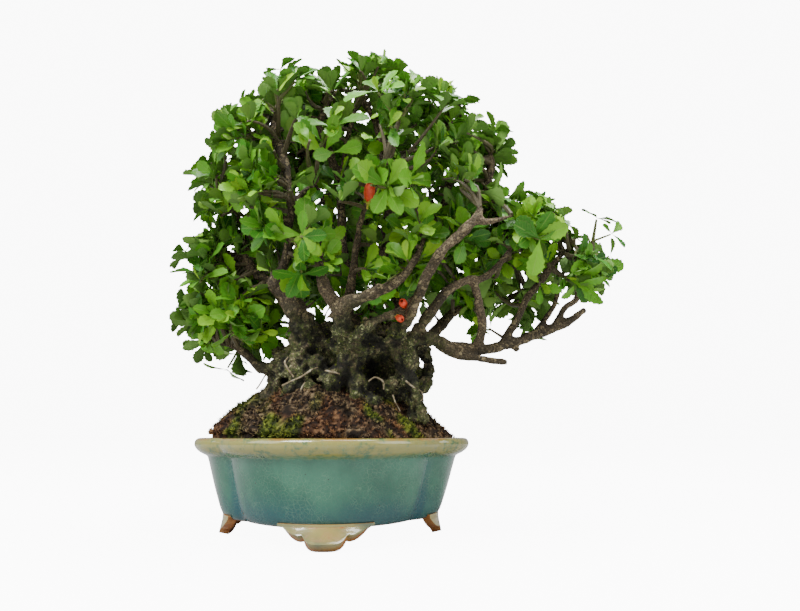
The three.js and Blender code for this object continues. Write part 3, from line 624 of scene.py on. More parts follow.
# %% Routes of the limbs
# Every limb is a list of x, y, z and radius in millimetres, from the thick end out
LIMBS = {
    "rightMain": [(20, -14, 134, 12), (36, -30, 142, 9), (56, -42, 149, 7), (76, -46, 154, 5.8),
                  (92, -44, 148, 5.4), (106, -42, 146, 5.4), (122, -39, 146, 5), (145, -30, 152, 4.8),
                  (169, -20, 161, 4.4), (196, -12, 171, 4), (211, -8, 180, 3.6), (223, -4, 188, 2.6)],
    "rightUnder": [(84, -42, 149, 4.5), (101, -46, 140, 3.6), (120, -48, 136, 3.2), (140, -46, 135, 2.8)],
    "rightUpright": [(117, -42, 146, 4.6), (119, -52, 163, 3.8), (115, -60, 182, 3.8), (112, -62, 196, 3.6),
                     (124, -60, 203, 3), (137, -58, 217, 2.5), (148, -54, 232, 1.7)],
    "rightMiddle": [(52, -24, 146, 8), (68, -48, 161, 5.4), (80, -62, 176, 4.5), (91, -66, 190, 4),
                    (112, -63, 200, 3)],
    "rightSlant": [(46, -38, 146, 7), (57, -62, 165, 4.8), (64, -70, 177, 4.4), (76, -84, 203, 4.2),
                   (86, -90, 216, 4.2), (108, -92, 237, 4), (113, -90, 249, 2.4)],
    "rightSlantFork": [(106, -92, 236, 3), (123, -88, 239, 2.4), (140, -80, 247, 1.6)],
    "rightDiagonal": [(140, -32, 152, 4), (150, -34, 168, 3.3), (159, -36, 185, 3.4), (172, -38, 204, 3.2),
                      (186, -40, 222, 2.8), (204, -40, 237, 1.8)],
    "rightEndUpper": [(192, -13, 171, 3.6), (203, -12, 188, 3), (214, -12, 198, 3), (218, -12, 217, 2.4),
                      (231, -12, 227, 1.5)],
    "rightEndLower": [(172, -18, 163, 3.6), (185, -16, 179, 2.6), (194, -14, 195, 2.2),
                      (198, -12, 211, 1.6)],
    "rightBack": [(56, 4, 146, 9), (84, 8, 166, 5.8), (106, 18, 188, 4.6), (133, 28, 203, 4),
                  (160, 34, 207, 3.4), (190, 34, 220, 2.2)],
    "frontCurve": [(22, -36, 138, 10), (9, -58, 158, 8), (7, -72, 172, 6.4), (20, -80, 176, 5.2),
                   (33, -83, 181, 4.6), (45, -83, 188, 4.2), (55, -80, 197, 3.6), (64, -76, 211, 3),
                   (71, -70, 231, 2)],
    "frontCurveLeft": [(7, -69, 169, 6), (-3, -73, 184, 5.4), (-9, -67, 201, 4.4), (-9, -60, 226, 2.6)],
    "frontLow": [(14, -44, 142, 9), (20, -62, 152, 5.6), (29, -68, 161, 4.8), (44, -64, 167, 4.2),
                 (58, -56, 178, 3.6), (71, -46, 195, 3), (88, -36, 224, 2)],
    "leftUpright": [(-10, -24, 146, 13), (-23, -40, 162, 11.5), (-35, -56, 181, 7), (-45, -62, 195, 5.6),
                    (-39, -67, 204, 4.2), (-35, -71, 216, 3.8), (-36, -72, 234, 3.6), (-34, -71, 254, 3.6),
                    (-38, -68, 272, 3.6), (-43, -58, 298, 4), (-53, -46, 328, 4.4), (-60, -36, 361, 4.2)],
    "leftUprightFork": [(-34, -71, 252, 3), (-26, -70, 265, 2.4), (-16, -66, 279, 1.6)],
    "leftDark": [(-26, -30, 166, 8), (-50, -30, 197, 4.8), (-67, -24, 212, 4.2), (-79, -20, 223, 3.6),
                 (-97, -16, 234, 2.2)],
    "leftUpper": [(-77, -20, 221, 3.4), (-80, -24, 239, 2.6), (-83, -28, 256, 2.4), (-90, -30, 270, 2),
                  (-104, -30, 285, 1.5)],
    "leftLow": [(-18, -14, 132, 10), (-41, -25, 128, 6.5), (-54, -26, 130, 5), (-65, -22, 136, 4.4),
                (-77, -18, 146, 3.6), (-90, -15, 152, 2.4)],
    "leftLowThin": [(-24, -4, 140, 8), (-52, -4, 150, 4), (-65, 1, 162, 3.2), (-78, 5, 174, 2.6),
                    (-87, 7, 189, 1.7)],
    "centre": [(10, -28, 158, 8), (12, -42, 190, 4.6), (15, -46, 209, 3.8), (18, -50, 236, 3),
               (24, -60, 258, 2.2), (33, -70, 273, 1.8), (39, -80, 289, 1.4)],
    "upperLeft": [(0, -8, 160, 9), (8, -18, 194, 5.6), (5, -10, 236, 4.4), (0, -6, 286, 4),
                  (-7, -14, 322, 3.8), (-20, -27, 349, 4), (-14, -32, 366, 2.8), (-4, -34, 385, 1.8)],
    "upperLeftThin": [(1, -7, 300, 3.2), (5, -20, 334, 2.6), (9, -26, 354, 2.4), (14, -30, 372, 1.6)],
    "upperMiddle": [(28, -8, 160, 10), (38, -18, 210, 6), (44, -13, 254, 4.8), (42, -14, 300, 4.4),
                    (38, -16, 342, 4.4), (33, -18, 362, 4), (22, -21, 379, 3.2), (11, -23, 391, 1.9)],
    "upperRight": [(40, 4, 160, 9), (58, 4, 206, 5.8), (82, 6, 258, 4.8), (99, 8, 294, 4.2),
                   (106, 4, 327, 3.6), (107, -2, 352, 2.8), (106, -4, 371, 1.7)],
    "upperRightKnob": [(80, 5, 254, 4.4), (108, -10, 270, 3.8), (130, -22, 290, 3.8), (137, -30, 314, 3.8),
                       (137, -32, 328, 2)],
    "backLeft": [(-14, 14, 144, 12), (-34, 34, 180, 6), (-54, 56, 214, 4.8), (-72, 70, 250, 3.8),
                 (-84, 72, 290, 2)],
    "backMiddle": [(6, 22, 146, 12), (2, 52, 196, 6), (4, 72, 244, 4.8), (14, 76, 296, 4),
                   (20, 68, 346, 2.8), (24, 58, 378, 1.8)],
    "backRight": [(34, 24, 146, 12), (54, 54, 186, 5.8), (76, 74, 226, 4.6), (94, 80, 270, 3.6),
                  (100, 72, 314, 2)],
    "backTop": [(6, 73, 250, 4.6), (-16, 60, 306, 3.6), (-38, 46, 346, 2.8), (-50, 36, 374, 1.8)],
    "backUnder": [(24, 38, 140, 10), (30, 68, 164, 5), (40, 88, 184, 3.8), (48, 98, 210, 2.2)],
}
print(len(LIMBS), "limbs")

# %% [markdown]
# ## Roots and stubs
#
# Old roots run down over the burl. On the right two of them stand off it as a bent column, with a dark
# hollow to their left. A dead grey stub hangs on the left, and short snags show where stems were pruned.

# %% Roots, knobs and stubs
ROOTS = {
    "columnFront": [(52, -34, 152, 8), (57, -40, 138, 9.5), (62, -40, 122, 8.5), (66, -36, 107, 6.5),
                    (70, -32, 90, 7)],
    "columnOuter": [(66, -22, 152, 8), (76, -24, 141, 6), (77, -26, 128, 5), (72, -31, 116, 5.2),
                    (64, -34, 106, 5), (66, -30, 88, 6)],
    "overHollow": [(40, -42, 150, 7), (22, -47, 144, 7.5), (6, -46, 134, 7.5), (-4, -45, 116, 6)],
    "diagonal": [(29, -60, 166, 5), (20, -54, 152, 6), (11, -49, 140, 6.4), (6, -46, 122, 6)],
    "middle": [(16, -40, 128, 8), (18, -42, 112, 8), (20, -40, 94, 8)],
    "leftFront": [(-22, -36, 150, 9), (-27, -38, 134, 8), (-31, -39, 118, 7), (-34, -38, 100, 7)],
    "leftSide": [(-34, -18, 146, 9), (-43, -20, 130, 8), (-50, -22, 112, 8), (-56, -22, 96, 8)],
    "leftBack": [(-32, 12, 146, 10), (-42, 16, 124, 9), (-50, 18, 100, 9)],
    "backA": [(0, 34, 146, 11), (-6, 42, 124, 9), (-10, 46, 100, 9)],
    "backB": [(34, 30, 148, 11), (42, 38, 124, 9), (46, 42, 98, 9)],
    "rightBack": [(62, 8, 146, 9), (70, 12, 124, 8), (72, 14, 98, 8)],
}
STUBS = {
    "deadLeft": [(-30, -48, 170, 2.4), (-33, -50, 165, 2), (-37, -50, 154, 1.4)],
    "deadFront": [(8, -62, 176, 3), (2, -63, 171, 2.4), (-6, -62, 165, 1.8)],
    "snagRight": [(134, -26, 306, 3), (140, -22, 316, 2.8), (142, -20, 322, 2.2)],
    "snagFork": [(-17, -24, 346, 3), (-23, -22, 352, 3.2), (-25, -20, 356, 2)],
    "snagLow": [(150, -28, 153, 3), (153, -31, 146, 2.6)],
    "snagMiddle": [(44, -14, 270, 4), (50, -17, 276, 3), (53, -18, 279, 2)],
    "snagLeft": [(-36, -70, 240, 3), (-42, -74, 244, 2.4)],
    "snagCurve": [(33, -83, 181, 3.6), (36, -88, 187, 2.4)],
}
# x, y, z and radius
KNOBS = [
    (-22, -32, 156, 14), (-31, -52, 176, 9.5), (46, -40, 117, 6.5), (4, -40, 150, 10), (26, -44, 152, 9),
    (-12, -40, 132, 9), (-36, -30, 132, 9), (30, -40, 104, 9), (0, -42, 118, 9), (-20, -38, 112, 9),
    (58, -36, 150, 9), (72, -22, 150, 7), (14, -30, 166, 10), (36, -26, 160, 10), (-6, -24, 160, 11),
    (-40, 4, 140, 10), (-30, 26, 132, 11), (2, 38, 130, 11), (30, 36, 134, 11), (58, 20, 136, 10),
    (-45, -62, 194, 6.6), (7, -72, 171, 7.6), (76, -46, 153, 7), (112, -62, 198, 4.6), (139, -20, 320, 4.6),
    (-60, -36, 360, 4.9), (106, -42, 145, 6.4), (-67, -24, 211, 5), (44, -14, 256, 5.8), (82, 6, 258, 5.6),
]


def curve_tubes(name, routes, sides):
    """One mesh of tubes along routes of x, y, z and radius, all in millimetres."""
    fresh()
    curve = bpy.data.curves.new(name, "CURVE")
    curve.dimensions = "3D"
    curve.bevel_depth = MM
    curve.bevel_resolution = sides
    curve.use_fill_caps = True
    for rows in routes:
        spline = curve.splines.new("POLY")
        spline.points.add(len(rows) - 1)
        for point, (x, y, z, radius) in zip(spline.points, rows):
            point.co = (*mm(x, y, z), 1)
            point.radius = radius
    tubes = bpy.data.objects.new(name, curve)
    bpy.context.collection.objects.link(tubes)
    only(tubes)
    bpy.ops.object.convert(target="MESH")
    tubes = bpy.context.object
    with editing():
        bpy.ops.mesh.remove_doubles(threshold=0.00001)
        bpy.ops.mesh.normals_make_consistent(inside=False)
    return tubes


def gnarled(route, steps, wobble, swell):
    """The route in small steps, wandering a little and swelling where old buds were."""
    rows = smoothed(route, steps)
    for row in rows:
        spot = Vector(row[:3])
        row[:3] += np.array(noise.noise_vector(spot / 17)) * wobble
        row[3] *= 1 + swell * noise.noise(spot / 9) + 0.6 * swell * noise.noise(spot / 4)
    return rows


limb_rows = [gnarled(route, 10, 1.3, 0.22) for route in LIMBS.values()]
root_rows = [gnarled(route, 10, 3, 0.4) for route in ROOTS.values()]
stub_rows = [gnarled(route, 4, 0.3, 0.2) for route in STUBS.values()]
stems = curve_tubes("stems", limb_rows + root_rows + stub_rows, 3)
print("stems, roots and stubs:", len(stems.data.polygons), "faces")

# %% Burl
VOXEL = 1.62 * MM
# Half-width, half-depth and height of its rings in millimetres
BURL = [(28, 26, 44), (34, 30, 68), (44, 33, 96), (51, 36, 109), (54, 37, 121), (53, 37, 134),
        (47, 34, 148), (38, 29, 160), (26, 20, 171)]
BURL_MIDDLE_X = 15
BURL_SIDES = 48
around = [math.tau * side / BURL_SIDES for side in range(BURL_SIDES)]
burl_outline = [(math.cos(turn), math.sin(turn)) for turn in around]
burl = raised("burl", burl_outline, [tuple(row) for row in smoothed(BURL, 3)], BURL_MIDDLE_X)
knobs = []
for x, y, z, radius in KNOBS:
    fresh()
    bpy.ops.mesh.primitive_ico_sphere_add(subdivisions=3, radius=radius * MM, location=mm(x, y, z))
    bpy.ops.object.transform_apply(location=True, rotation=False, scale=False)
    knobs.append(bpy.context.object)
wood = joined("wood", [burl, stems, *knobs])
modified(wood, "REMESH", mode="VOXEL", voxel_size=VOXEL)
modified(wood, "SMOOTH", factor=0.5, iterations=3)
print("wood in one skin:", len(wood.data.polygons), "faces")

# %% [markdown]
# ## Bark, lumps and the hollow
#
# The burl is all bulges and pits, while the stems carry plates of bark that only stand out by a fraction of
# a millimetre. So each point of the skin moves along its normal by noise, by much on the burl and by little
# on a stem. How far each point moved stays on the skin as the attribute "lump", so that the bark material
# can paint shade into the pits. The hollow between the roots is one deep dent.

# %% Push the skin in and out
HOLLOW = Vector((34, -42, 131))
HOLLOW_WIDTH = 15
HOLLOW_HEIGHT = 12
HOLLOW_DEPTH = 30


def share_of_burl(x, y, z):
    """1 on the burl, 0 on the stems above it."""
    far = math.hypot((x - BURL_MIDDLE_X) / 70, y / 62)
    low = min(max((182 - z) / 22, 0), 1)
    return low * min(max((1.25 - far) / 0.25, 0), 1)


def bark_push(spot):
    """How far the skin moves out at a place, both in millimetres."""
    burl_share = share_of_burl(*spot)
    flakes = 0.35 * noise.noise(spot / 2.2) + 0.35 * noise.noise(spot / 5)
    if not burl_share:
        return flakes
    lumps = 4 * noise.noise(spot / 13) + 3.4 * noise.noise(spot / 5.8) + 2 * noise.noise(spot / 2.9)
    return flakes + burl_share * (lumps - 0.6)


normals = [vertex.normal.copy() for vertex in wood.data.vertices]
pushes = [bark_push((vertex.co - POT_MIDDLE) / MM) for vertex in wood.data.vertices]
wood.data.attributes.new("lump", "FLOAT", "POINT").data.foreach_set("value", pushes)
for vertex, normal, push in zip(wood.data.vertices, normals, pushes):
    vertex.co += normal * (push * MM)
    off = (vertex.co - POT_MIDDLE) / MM - HOLLOW
    near = math.hypot(off.x / HOLLOW_WIDTH, off.z / HOLLOW_HEIGHT)
    if near < 1 and -25 < off.y < 25:
        vertex.co.y += HOLLOW_DEPTH * MM * (1 - near**2) ** 1.5
wood.data.update()
smooth(wood, 60)
print("wood:", [round(side * 1000) for side in wood.dimensions], "mm")

# %% [markdown]
# ## Bark
#
# The bark of an old quince is grey-brown and flakes off in small plates, pale tan where one has just come
# away and nearly black in the cracks between them. Low down it disappears under green: algae and fine moss,
# with specks of pale lichen. Cells from a Voronoi texture give the plates. Their place is stirred by noise
# first, because plates with straight edges would look like tiles.

# %% Bark material
MOSS_GREEN = colour(78, 92, 30)
PLATE = 2.9
bark, sockets, place = new_material("Flaking bark")
x, y, z = place.parts()
stir = place.node("ShaderNodeTexNoise", {"Vector": place, "Scale": 260, "Detail": 3}, out="Color")
stirred = place.node("ShaderNodeVectorMath", {0: stir, 1: (0.006, 0.006, 0.006), 2: place},
                     operation="MULTIPLY_ADD")
plate_edge = stirred.cells(PLATE, "DISTANCE_TO_EDGE")
plate_sockets = {"Vector": stirred, "Scale": 1 / (PLATE * MM)}
plate_chance = stirred.node("ShaderNodeTexVoronoi", plate_sockets, out="Color")
fresh_plate = plate_chance.node("ShaderNodeSeparateColor", {0: plate_chance})
grain = place.grain(1.3, detail=6, roughness=0.7)
broad = place.grain(24, detail=3)
cracks = 1 - (plate_edge + grain * 0.1).rises(0.06, 0.16)
tone = (grain * 0.6 + broad * 0.4).ramp((0.32, colour(20, 16, 9)), (0.5, colour(70, 60, 38)),
                                        (0.66, colour(132, 114, 90)))
flake = (fresh_plate + broad * 0.5 - 0.2).rises(0.66, 0.95) * (1 - cracks)
tone = (flake * 0.38).blend(tone, colour(180, 162, 120))
tone = (cracks * 0.6).blend(tone, colour(26, 19, 13))
low_down = 1 - (z / MM + broad * 34).rises(168, 196)
near_burl = 1 - (abs(x - POT_MIDDLE.x - BURL_MIDDLE_X * MM) / MM).rises(58, 86)
damp = low_down * near_burl
patches = place.grain(9, detail=5, roughness=0.7)
green = (patches * 0.55 + place.grain(2.2) * 0.45).rises(0.36, 0.58) * damp
green_tone = place.grain(1.6, detail=3).rises(0.3, 0.7).blend(colour(32, 40, 16), MOSS_GREEN)
tone = (green * 0.9).blend(tone, green_tone)
lichen = place.grain(2.4, detail=5, roughness=0.8).rises(0.54, 0.64) * damp
lichen = lichen * place.grain(20).rises(0.4, 0.55)
tone = (lichen * 0.8).blend(tone, colour(206, 208, 150))
lump = place.node("ShaderNodeAttribute", {}, out="Fac", attribute_name="lump")
# Painted shade: low on the burl, the pits that the skin was pushed into are painted nearly black
tone = ((1 - lump.rises(-1.8, 0.6)) * 0.85 * damp).blend(tone, colour(12, 10, 6))
height = plate_edge * 1.4 + grain * 0.7 + green * grain * 0.8
feed(sockets, Base_Color=tone, Roughness=1 - grain * 0.35, Normal=height.bump(1.5, 0.9))
finished(wood, bark, "bark", "trunk_and_branches")

# %% [markdown]
# ## Pale roots
#
# A few thin roots in the air cross the burl, bare and almost white. They are the lightest thing low on the
# plant and catch the eye, so each is drawn where it runs: a thin tube that touches the burl here and there.

# %% Pale aerial roots
PALE_ROOTS = [
    [(-37, -37, 139, 0.75), (-38, -43, 134, 0.8), (-35, -46, 128, 0.7), (-31, -46, 122, 0.6)],
    [(-38, -50, 114, 0.7), (-31, -49, 119, 0.65), (-24, -49, 123, 0.6), (-17, -48, 127, 0.75),
     (-10, -46, 130, 0.6)],
    [(-5, -51, 126, 0.6), (0, -53, 125, 0.95), (6, -52, 123, 0.55)],
    [(-54, -26, 128, 0.8), (-57, -30, 122, 0.7), (-61, -34, 114, 0.6)],
    [(28, -52, 118, 0.5), (34, -53, 121, 0.6), (40, -51, 118, 0.65), (41, -49, 112, 0.5)],
    [(56, -44, 122, 0.8), (62, -46, 117, 0.75), (68, -43, 113, 0.7)],
    [(66, -38, 115, 0.5), (71, -39, 112, 0.55), (72, -38, 107, 0.55), (69, -38, 104, 0.5)],
    [(48, -48, 108, 0.45), (50, -49, 102, 0.4), (53, -47, 96, 0.4)],
    [(70, -30, 112, 0.95), (76, -28, 115, 0.9), (78, -27, 122, 0.8), (77, -26, 130, 0.7)],
    [(-22, -46, 118, 0.6), (-24, -49, 112, 0.5), (-22, -50, 107, 0.4)],
]
pale_roots = curve_tubes("pale_roots", [gnarled(route, 9, 1.6, 0.3) for route in PALE_ROOTS], 3)
smooth(pale_roots, 60)
root_skin, sockets, place = new_material("Pale root skin")
stains = place.grain(4, detail=4, roughness=0.7)
tone = stains.ramp((0.3, colour(70, 58, 40)), (0.5, colour(140, 126, 98)),
                   (0.7, colour(196, 186, 158)))
feed(sockets, Base_Color=tone, Roughness=0.75, Normal=place.grain(1).bump(0.4))
finished(pale_roots, root_skin, "bark")

# %% [markdown]
# ## One leaf
#
# A quince leaf is a small spoon: narrow at the stalk, broadest above its middle, folded a little along the
# rib, with its tip bent down and fine teeth round the upper edge. It starts as a flat grid whose rows are
# pulled to that outline. A copy of it, turned over, becomes the underside, and the two faces are parted in
# the middle and merged at the edge, which makes a thin closed lens. A leaf is repeated thousands of times,
# so it has only a few dozen faces, and the veins come from the material.

# %% Leaf shapes
# Distance from the stalk and half-width, as shares of a leaf's length
LEAF_OUTLINE = [
    (0, 0.022), (0.1, 0.028), (0.22, 0.075), (0.36, 0.15), (0.48, 0.21), (0.57, 0.25), (0.65, 0.272),
    (0.72, 0.28), (0.79, 0.27), (0.85, 0.242), (0.91, 0.195), (0.96, 0.125), (1, 0.02),
]
TOOTH = 0.052
HALF_THICK = 0.007


class Shape:
    """A modelled mesh as plain arrays, ready to be copied many times."""

    def __init__(self, piece):
        mesh = piece.data
        self.points = np.array([vertex.co for vertex in mesh.vertices])
        self.corners = np.array([loop.vertex_index for loop in mesh.loops])
        self.starts = np.array([face.loop_start for face in mesh.polygons])
        self.uvs = np.array([corner.uv for corner in mesh.uv_layers.active.data])
        under = mesh.attributes.get("under")
        self.under = np.array([item.value for item in under.data]) if under else np.zeros(len(self.starts))
        bpy.data.objects.remove(piece)


def leaf_shape(name, fold, droop, ripple, cup, width):
    """A leaf of length 1 along y, with these amounts of folding, drooping, waving and cupping."""
    fresh()
    rows = len(LEAF_OUTLINE) - 1
    bpy.ops.mesh.primitive_grid_add(x_subdivisions=2, y_subdivisions=rows, size=1, location=(0, 0, 0))
    leaf = bpy.context.object
    leaf.name = name
    for vertex in leaf.data.vertices:
        row = round((vertex.co.y + 0.5) * rows)
        share = vertex.co.x * 2
        along, half = LEAF_OUTLINE[row]
        tooth = TOOTH * (row % 2 - 0.5) * (3 < row < rows)
        across = share * (half + tooth) * width
        bent = fold * abs(across) - droop * along**2 + ripple * share**2 * math.sin(11 * along + 2 * share)
        vertex.co = (across, along, bent + cup * across**2)
    with editing():
        bpy.ops.mesh.duplicate_move()
        bpy.ops.mesh.flip_normals()
    half_count = len(leaf.data.vertices) // 2
    for index, vertex in enumerate(leaf.data.vertices):
        row, side = divmod(index % half_count, 3)
        if side == 1 and 0 < row < rows:
            vertex.co.z += HALF_THICK if index < half_count else -HALF_THICK
    under = leaf.data.attributes.new("under", "FLOAT", "FACE")
    face_count = len(leaf.data.polygons)
    under.data.foreach_set("value", [float(face >= face_count // 2) for face in range(face_count)])
    with editing():
        bpy.ops.mesh.remove_doubles(threshold=0.0001)
    return Shape(leaf)


LEAVES = [
    leaf_shape("leaf_folded", 0.32, 0.17, 0.01, 0, 0.9),
    leaf_shape("leaf_wavy", 0.24, 0.24, 0.04, 0.2, 0.82),
    leaf_shape("leaf_cupped", 0.3, -0.08, 0.02, 0.5, 0.86),
    leaf_shape("leaf_long", 0.42, 0.3, 0.02, 0, 0.7),
]
YOUNG_LEAF = leaf_shape("leaf_young", 0.7, -0.12, 0.015, 0, 0.72)
print("a leaf has", len(LEAVES[0].starts), "faces")

# %% [markdown]
# ## One stem
#
# Twigs are repeated too. A six-sided cylinder of height 1, cut into six rings, can be bent along any route
# afterwards. Only its upright edges are selected before the subdivide operator cuts them.

# %% Stem shape
fresh()
bpy.ops.mesh.primitive_cylinder_add(vertices=6, radius=1, depth=1, location=(0, 0, 0.5))
stem = bpy.context.object
bpy.ops.object.transform_apply(location=True, rotation=False, scale=False)
bpy.ops.object.mode_set(mode="EDIT")
bpy.ops.mesh.select_mode(type="EDGE")
bpy.ops.mesh.select_all(action="DESELECT")
bpy.ops.object.mode_set(mode="OBJECT")
for edge in stem.data.edges:
    low, high = [stem.data.vertices[index].co for index in edge.vertices]
    edge.select = abs(high.z - low.z) > 0.5
bpy.ops.object.mode_set(mode="EDIT")
bpy.ops.mesh.subdivide(number_cuts=5)
bpy.ops.mesh.select_mode(type="VERT")
bpy.ops.object.mode_set(mode="OBJECT")
STEM = Shape(stem)
print("a stem has", len(STEM.starts), "faces")

# %% [markdown]
# ## Gathering copies
#
# Copying an object thousands of times and joining the copies is slow. The class below does the same with
# arrays: it takes a modelled shape and a place, adds the moved points to its lists, and makes one mesh at
# the end. Each face keeps a mark of four numbers for its material. On a leaf they are its age, a chance and
# whether it is an underside.


# %% Class for bunches
class Bunch:
    """Copies of shapes that end up in one mesh."""

    def __init__(self):
        self.points, self.corners, self.starts, self.uvs, self.marks, self.finishes = [[] for _ in range(6)]
        self.point_count = 0
        self.corner_count = 0

    def put(self, shape, points, age, chance, finish=0, extra=1):
        """Adds the shape with its points moved to these, in millimetres from the pot's middle."""
        self.points.append(points)
        self.corners.append(shape.corners + self.point_count)
        self.starts.append(shape.starts + self.corner_count)
        self.uvs.append(shape.uvs)
        faces = len(shape.starts)
        ages, chances, extras = [np.full(faces, float(value)) for value in (age, chance, extra)]
        self.marks.append(np.column_stack([ages, chances, shape.under, extras]))
        self.finishes.append(np.full(faces, finish))
        self.point_count += len(points)
        self.corner_count += len(shape.corners)

    def put_at(self, shape, spot, axes, size, age, chance, extra=1):
        """Adds the shape at a spot, with its x, y and z along these three axes."""
        turned = shape.points @ np.array([tuple(axis) for axis in axes])
        self.put(shape, turned * size + np.array(spot), age, chance, extra=extra)

    def put_stem(self, rows, age):
        """Bends the stem along rows of x, y, z and radius, with the second material."""
        rows = smoothed(rows, 8)
        shares = np.linspace(0, 1, len(rows))
        heights = STEM.points[:, 2]
        spots = np.column_stack([np.interp(heights, shares, rows[:, axis]) for axis in range(4)])
        along = Vector(rows[-1][:3] - rows[0][:3]).normalized()
        first, second = axes_across(along)
        reach = spots[:, 3:4]
        around = STEM.points[:, 0:1] * np.array(first) + STEM.points[:, 1:2] * np.array(second)
        self.put(STEM, spots[:, :3] + around * reach, age, 0.5, finish=1)

    def put_straight(self, start, end, radii, age):
        """A straight stem, with its radius at the start, halfway and at the end."""
        spots = (start, start.lerp(end, 0.5), end)
        self.put_stem([(*spot, radius) for spot, radius in zip(spots, radii)], age)

    def piece(self, name, slot, finishes, *nodes):
        """One mesh of everything in the bunch, as a piece that stands for these solids."""
        mesh = bpy.data.meshes.new(name)
        points = np.vstack(self.points) * MM + np.array(POT_MIDDLE)
        corners = np.concatenate(self.corners)
        starts = np.concatenate(self.starts)
        mesh.vertices.add(len(points))
        mesh.loops.add(len(corners))
        mesh.polygons.add(len(starts))
        mesh.vertices.foreach_set("co", points.ravel())
        mesh.loops.foreach_set("vertex_index", corners)
        mesh.polygons.foreach_set("loop_start", starts)
        mesh.update(calc_edges=True)
        mesh.uv_layers.new(name="blade").data.foreach_set("uv", np.vstack(self.uvs).ravel())
        mark = mesh.attributes.new("mark", "FLOAT_COLOR", "FACE")
        mark.data.foreach_set("color", np.vstack(self.marks).ravel())
        piece = bpy.data.objects.new(name, mesh)
        bpy.context.collection.objects.link(piece)
        smooth(piece, 50)
        for finish in finishes:
            mesh.materials.append(finish)
        mesh.polygons.foreach_set("material_index", np.concatenate(self.finishes).astype(int))
        mesh.update()
        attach(piece, "root")
        if nodes:
            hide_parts(*nodes)
        print(name, len(mesh.polygons), "faces")


def axes_across(axis):
    """Two directions square to an axis and to each other."""
    first = (Vector((1, 0, 0)) if abs(axis.z) > 0.9 else UP).cross(axis).normalized()
    return first, axis.cross(first)


# %% [markdown]
# ## Leaf and twig finish
#
# The upper face is a clear, glossy green, darker on old leaves and yellow-green on young ones, with a pale
# rib and fine side veins. The underside is paler, greyer and dull. The UV map runs across and along each
# blade, so the veins follow it however it is bent.

# %% Leaf material
leaf_green, sockets, place = new_material("Quince leaf")
blade = place.node("ShaderNodeUVMap", {}, uv_map="blade")
across, along, _ = blade.parts()
age, chance, under = marks_in(place)
off_rib = abs(across - 0.5) * 2
mottle = place.grain(4, detail=4)
rib = 1 - off_rib.rises(0.03, 0.11)
slant = along * 52 - off_rib * 13
wave = slant.maths("SINE", slant)
vein = wave.rises(0.8, 1) * (1 - rib) * (1 - off_rib.rises(0.75, 1))
old = (chance * 0.7 + mottle * 0.3).ramp((0.15, (0.014, 0.09, 0.008)), (0.5, (0.042, 0.2, 0.012)),
                                         (0.85, (0.12, 0.38, 0.016)))
young = chance.ramp((0.1, (0.16, 0.45, 0.015)), (0.9, (0.38, 0.64, 0.035)))
tone = age.blend(old, young)
tone = (vein * 0.2 + rib * 0.45).blend(tone, (0.22, 0.4, 0.06, 1))
tone = (off_rib.rises(0.8, 1) * 0.25).blend(tone, (0.2, 0.26, 0.05, 1))
tone = (under * 0.75).blend(tone, (0.15, 0.27, 0.06, 1))
spots = place.grain(1.4, detail=2).rises(0.74, 0.8) * chance.rises(0.75, 0.9) * (1 - age)
tone = (spots * 0.5).blend(tone, (0.1, 0.07, 0.02, 1))
relief = (rib * -0.6) + (vein * -0.5) + mottle * 0.25
feed(sockets, Base_Color=tone, Roughness=under * 0.35 + mottle * 0.16 + 0.24, Normal=relief.bump(0.35, 0.6),
     Specular_IOR_Level=0.2)

twig_green, sockets, place = new_material("Green twig")
age = marks_in(place)[0]
grain = place.grain(1.6, detail=4, roughness=0.7)
wood_tone = grain.ramp((0.3, (0.035, 0.024, 0.014)), (0.7, (0.13, 0.09, 0.055)))
green_tone = grain.ramp((0.3, (0.14, 0.19, 0.03)), (0.7, (0.27, 0.32, 0.08)))
feed(sockets, Base_Color=age.blend(wood_tone, green_tone), Roughness=0.6, Normal=grain.bump(0.4, 0.6))
LEAFY = [leaf_green, twig_green]

# %% [markdown]
# ## Rules of growth
#
# Leaves sit in a spiral down each shoot, a golden turn apart, with the youngest and smallest at the tip,
# and they open outwards. A shoot starts on the nearest wood. For the crown to read as that of the plant
# in the photograph, a few things are checked before a leaf is taken: it stays inside the crown's outline
# and the part's box, keeps clear of the limbs, and doesn't cover the first bud or a limb that is seen bare.
# Leaves may cross each other.

# %% Outline of the crown and bare limbs
# x and z in millimetres where the outline cuts the plane through the pot's middle, seen from the camera
CROWN_OUTLINE = [
    (-140, 179), (-140, 191), (-134, 197), (-126, 204), (-116, 205), (-110, 209), (-120, 210), (-146, 207),
    (-152, 225), (-140, 238), (-134, 244), (-138, 250), (-154, 258), (-142, 268), (-148, 282), (-145, 286),
    (-138, 291), (-154, 296), (-155, 309), (-154, 317), (-147, 327), (-139, 334), (-129, 324), (-120, 332),
    (-128, 345), (-142, 347), (-131, 357), (-120, 364), (-128, 383), (-116, 386), (-107, 381), (-102, 390),
    (-93, 397), (-79, 394), (-81, 413), (-76, 422), (-65, 418), (-60, 430), (-48, 435), (-21, 441),
    (-3, 438), (3, 448), (24, 450), (48, 442), (71, 434), (87, 423), (96, 429), (108, 415), (119, 406),
    (143, 406), (145, 390), (164, 387), (169, 373), (175, 360), (182, 352), (174, 338), (168, 325),
    (173, 313), (171, 306), (188, 306), (199, 295), (215, 281), (211, 269), (231, 255), (239, 252),
    (245, 240), (266, 231), (255, 222), (253, 210), (242, 206), (242, 198), (223, 182), (201, 174),
    (183, 165), (173, 150), (159, 146), (145, 138), (118, 150), (110, 176), (81, 174), (74, 160),
    (56, 149), (38, 155), (12, 150), (-32, 148), (-57, 139), (-84, 145), (-114, 147), (-124, 158),
]
CROWN_MIDDLE = (30, 290)
# Where the first bud is seen, and how near to that line of sight a leaf may come
BUD = Vector((27.5, -73, 267))
BUD_WIDTH = 9
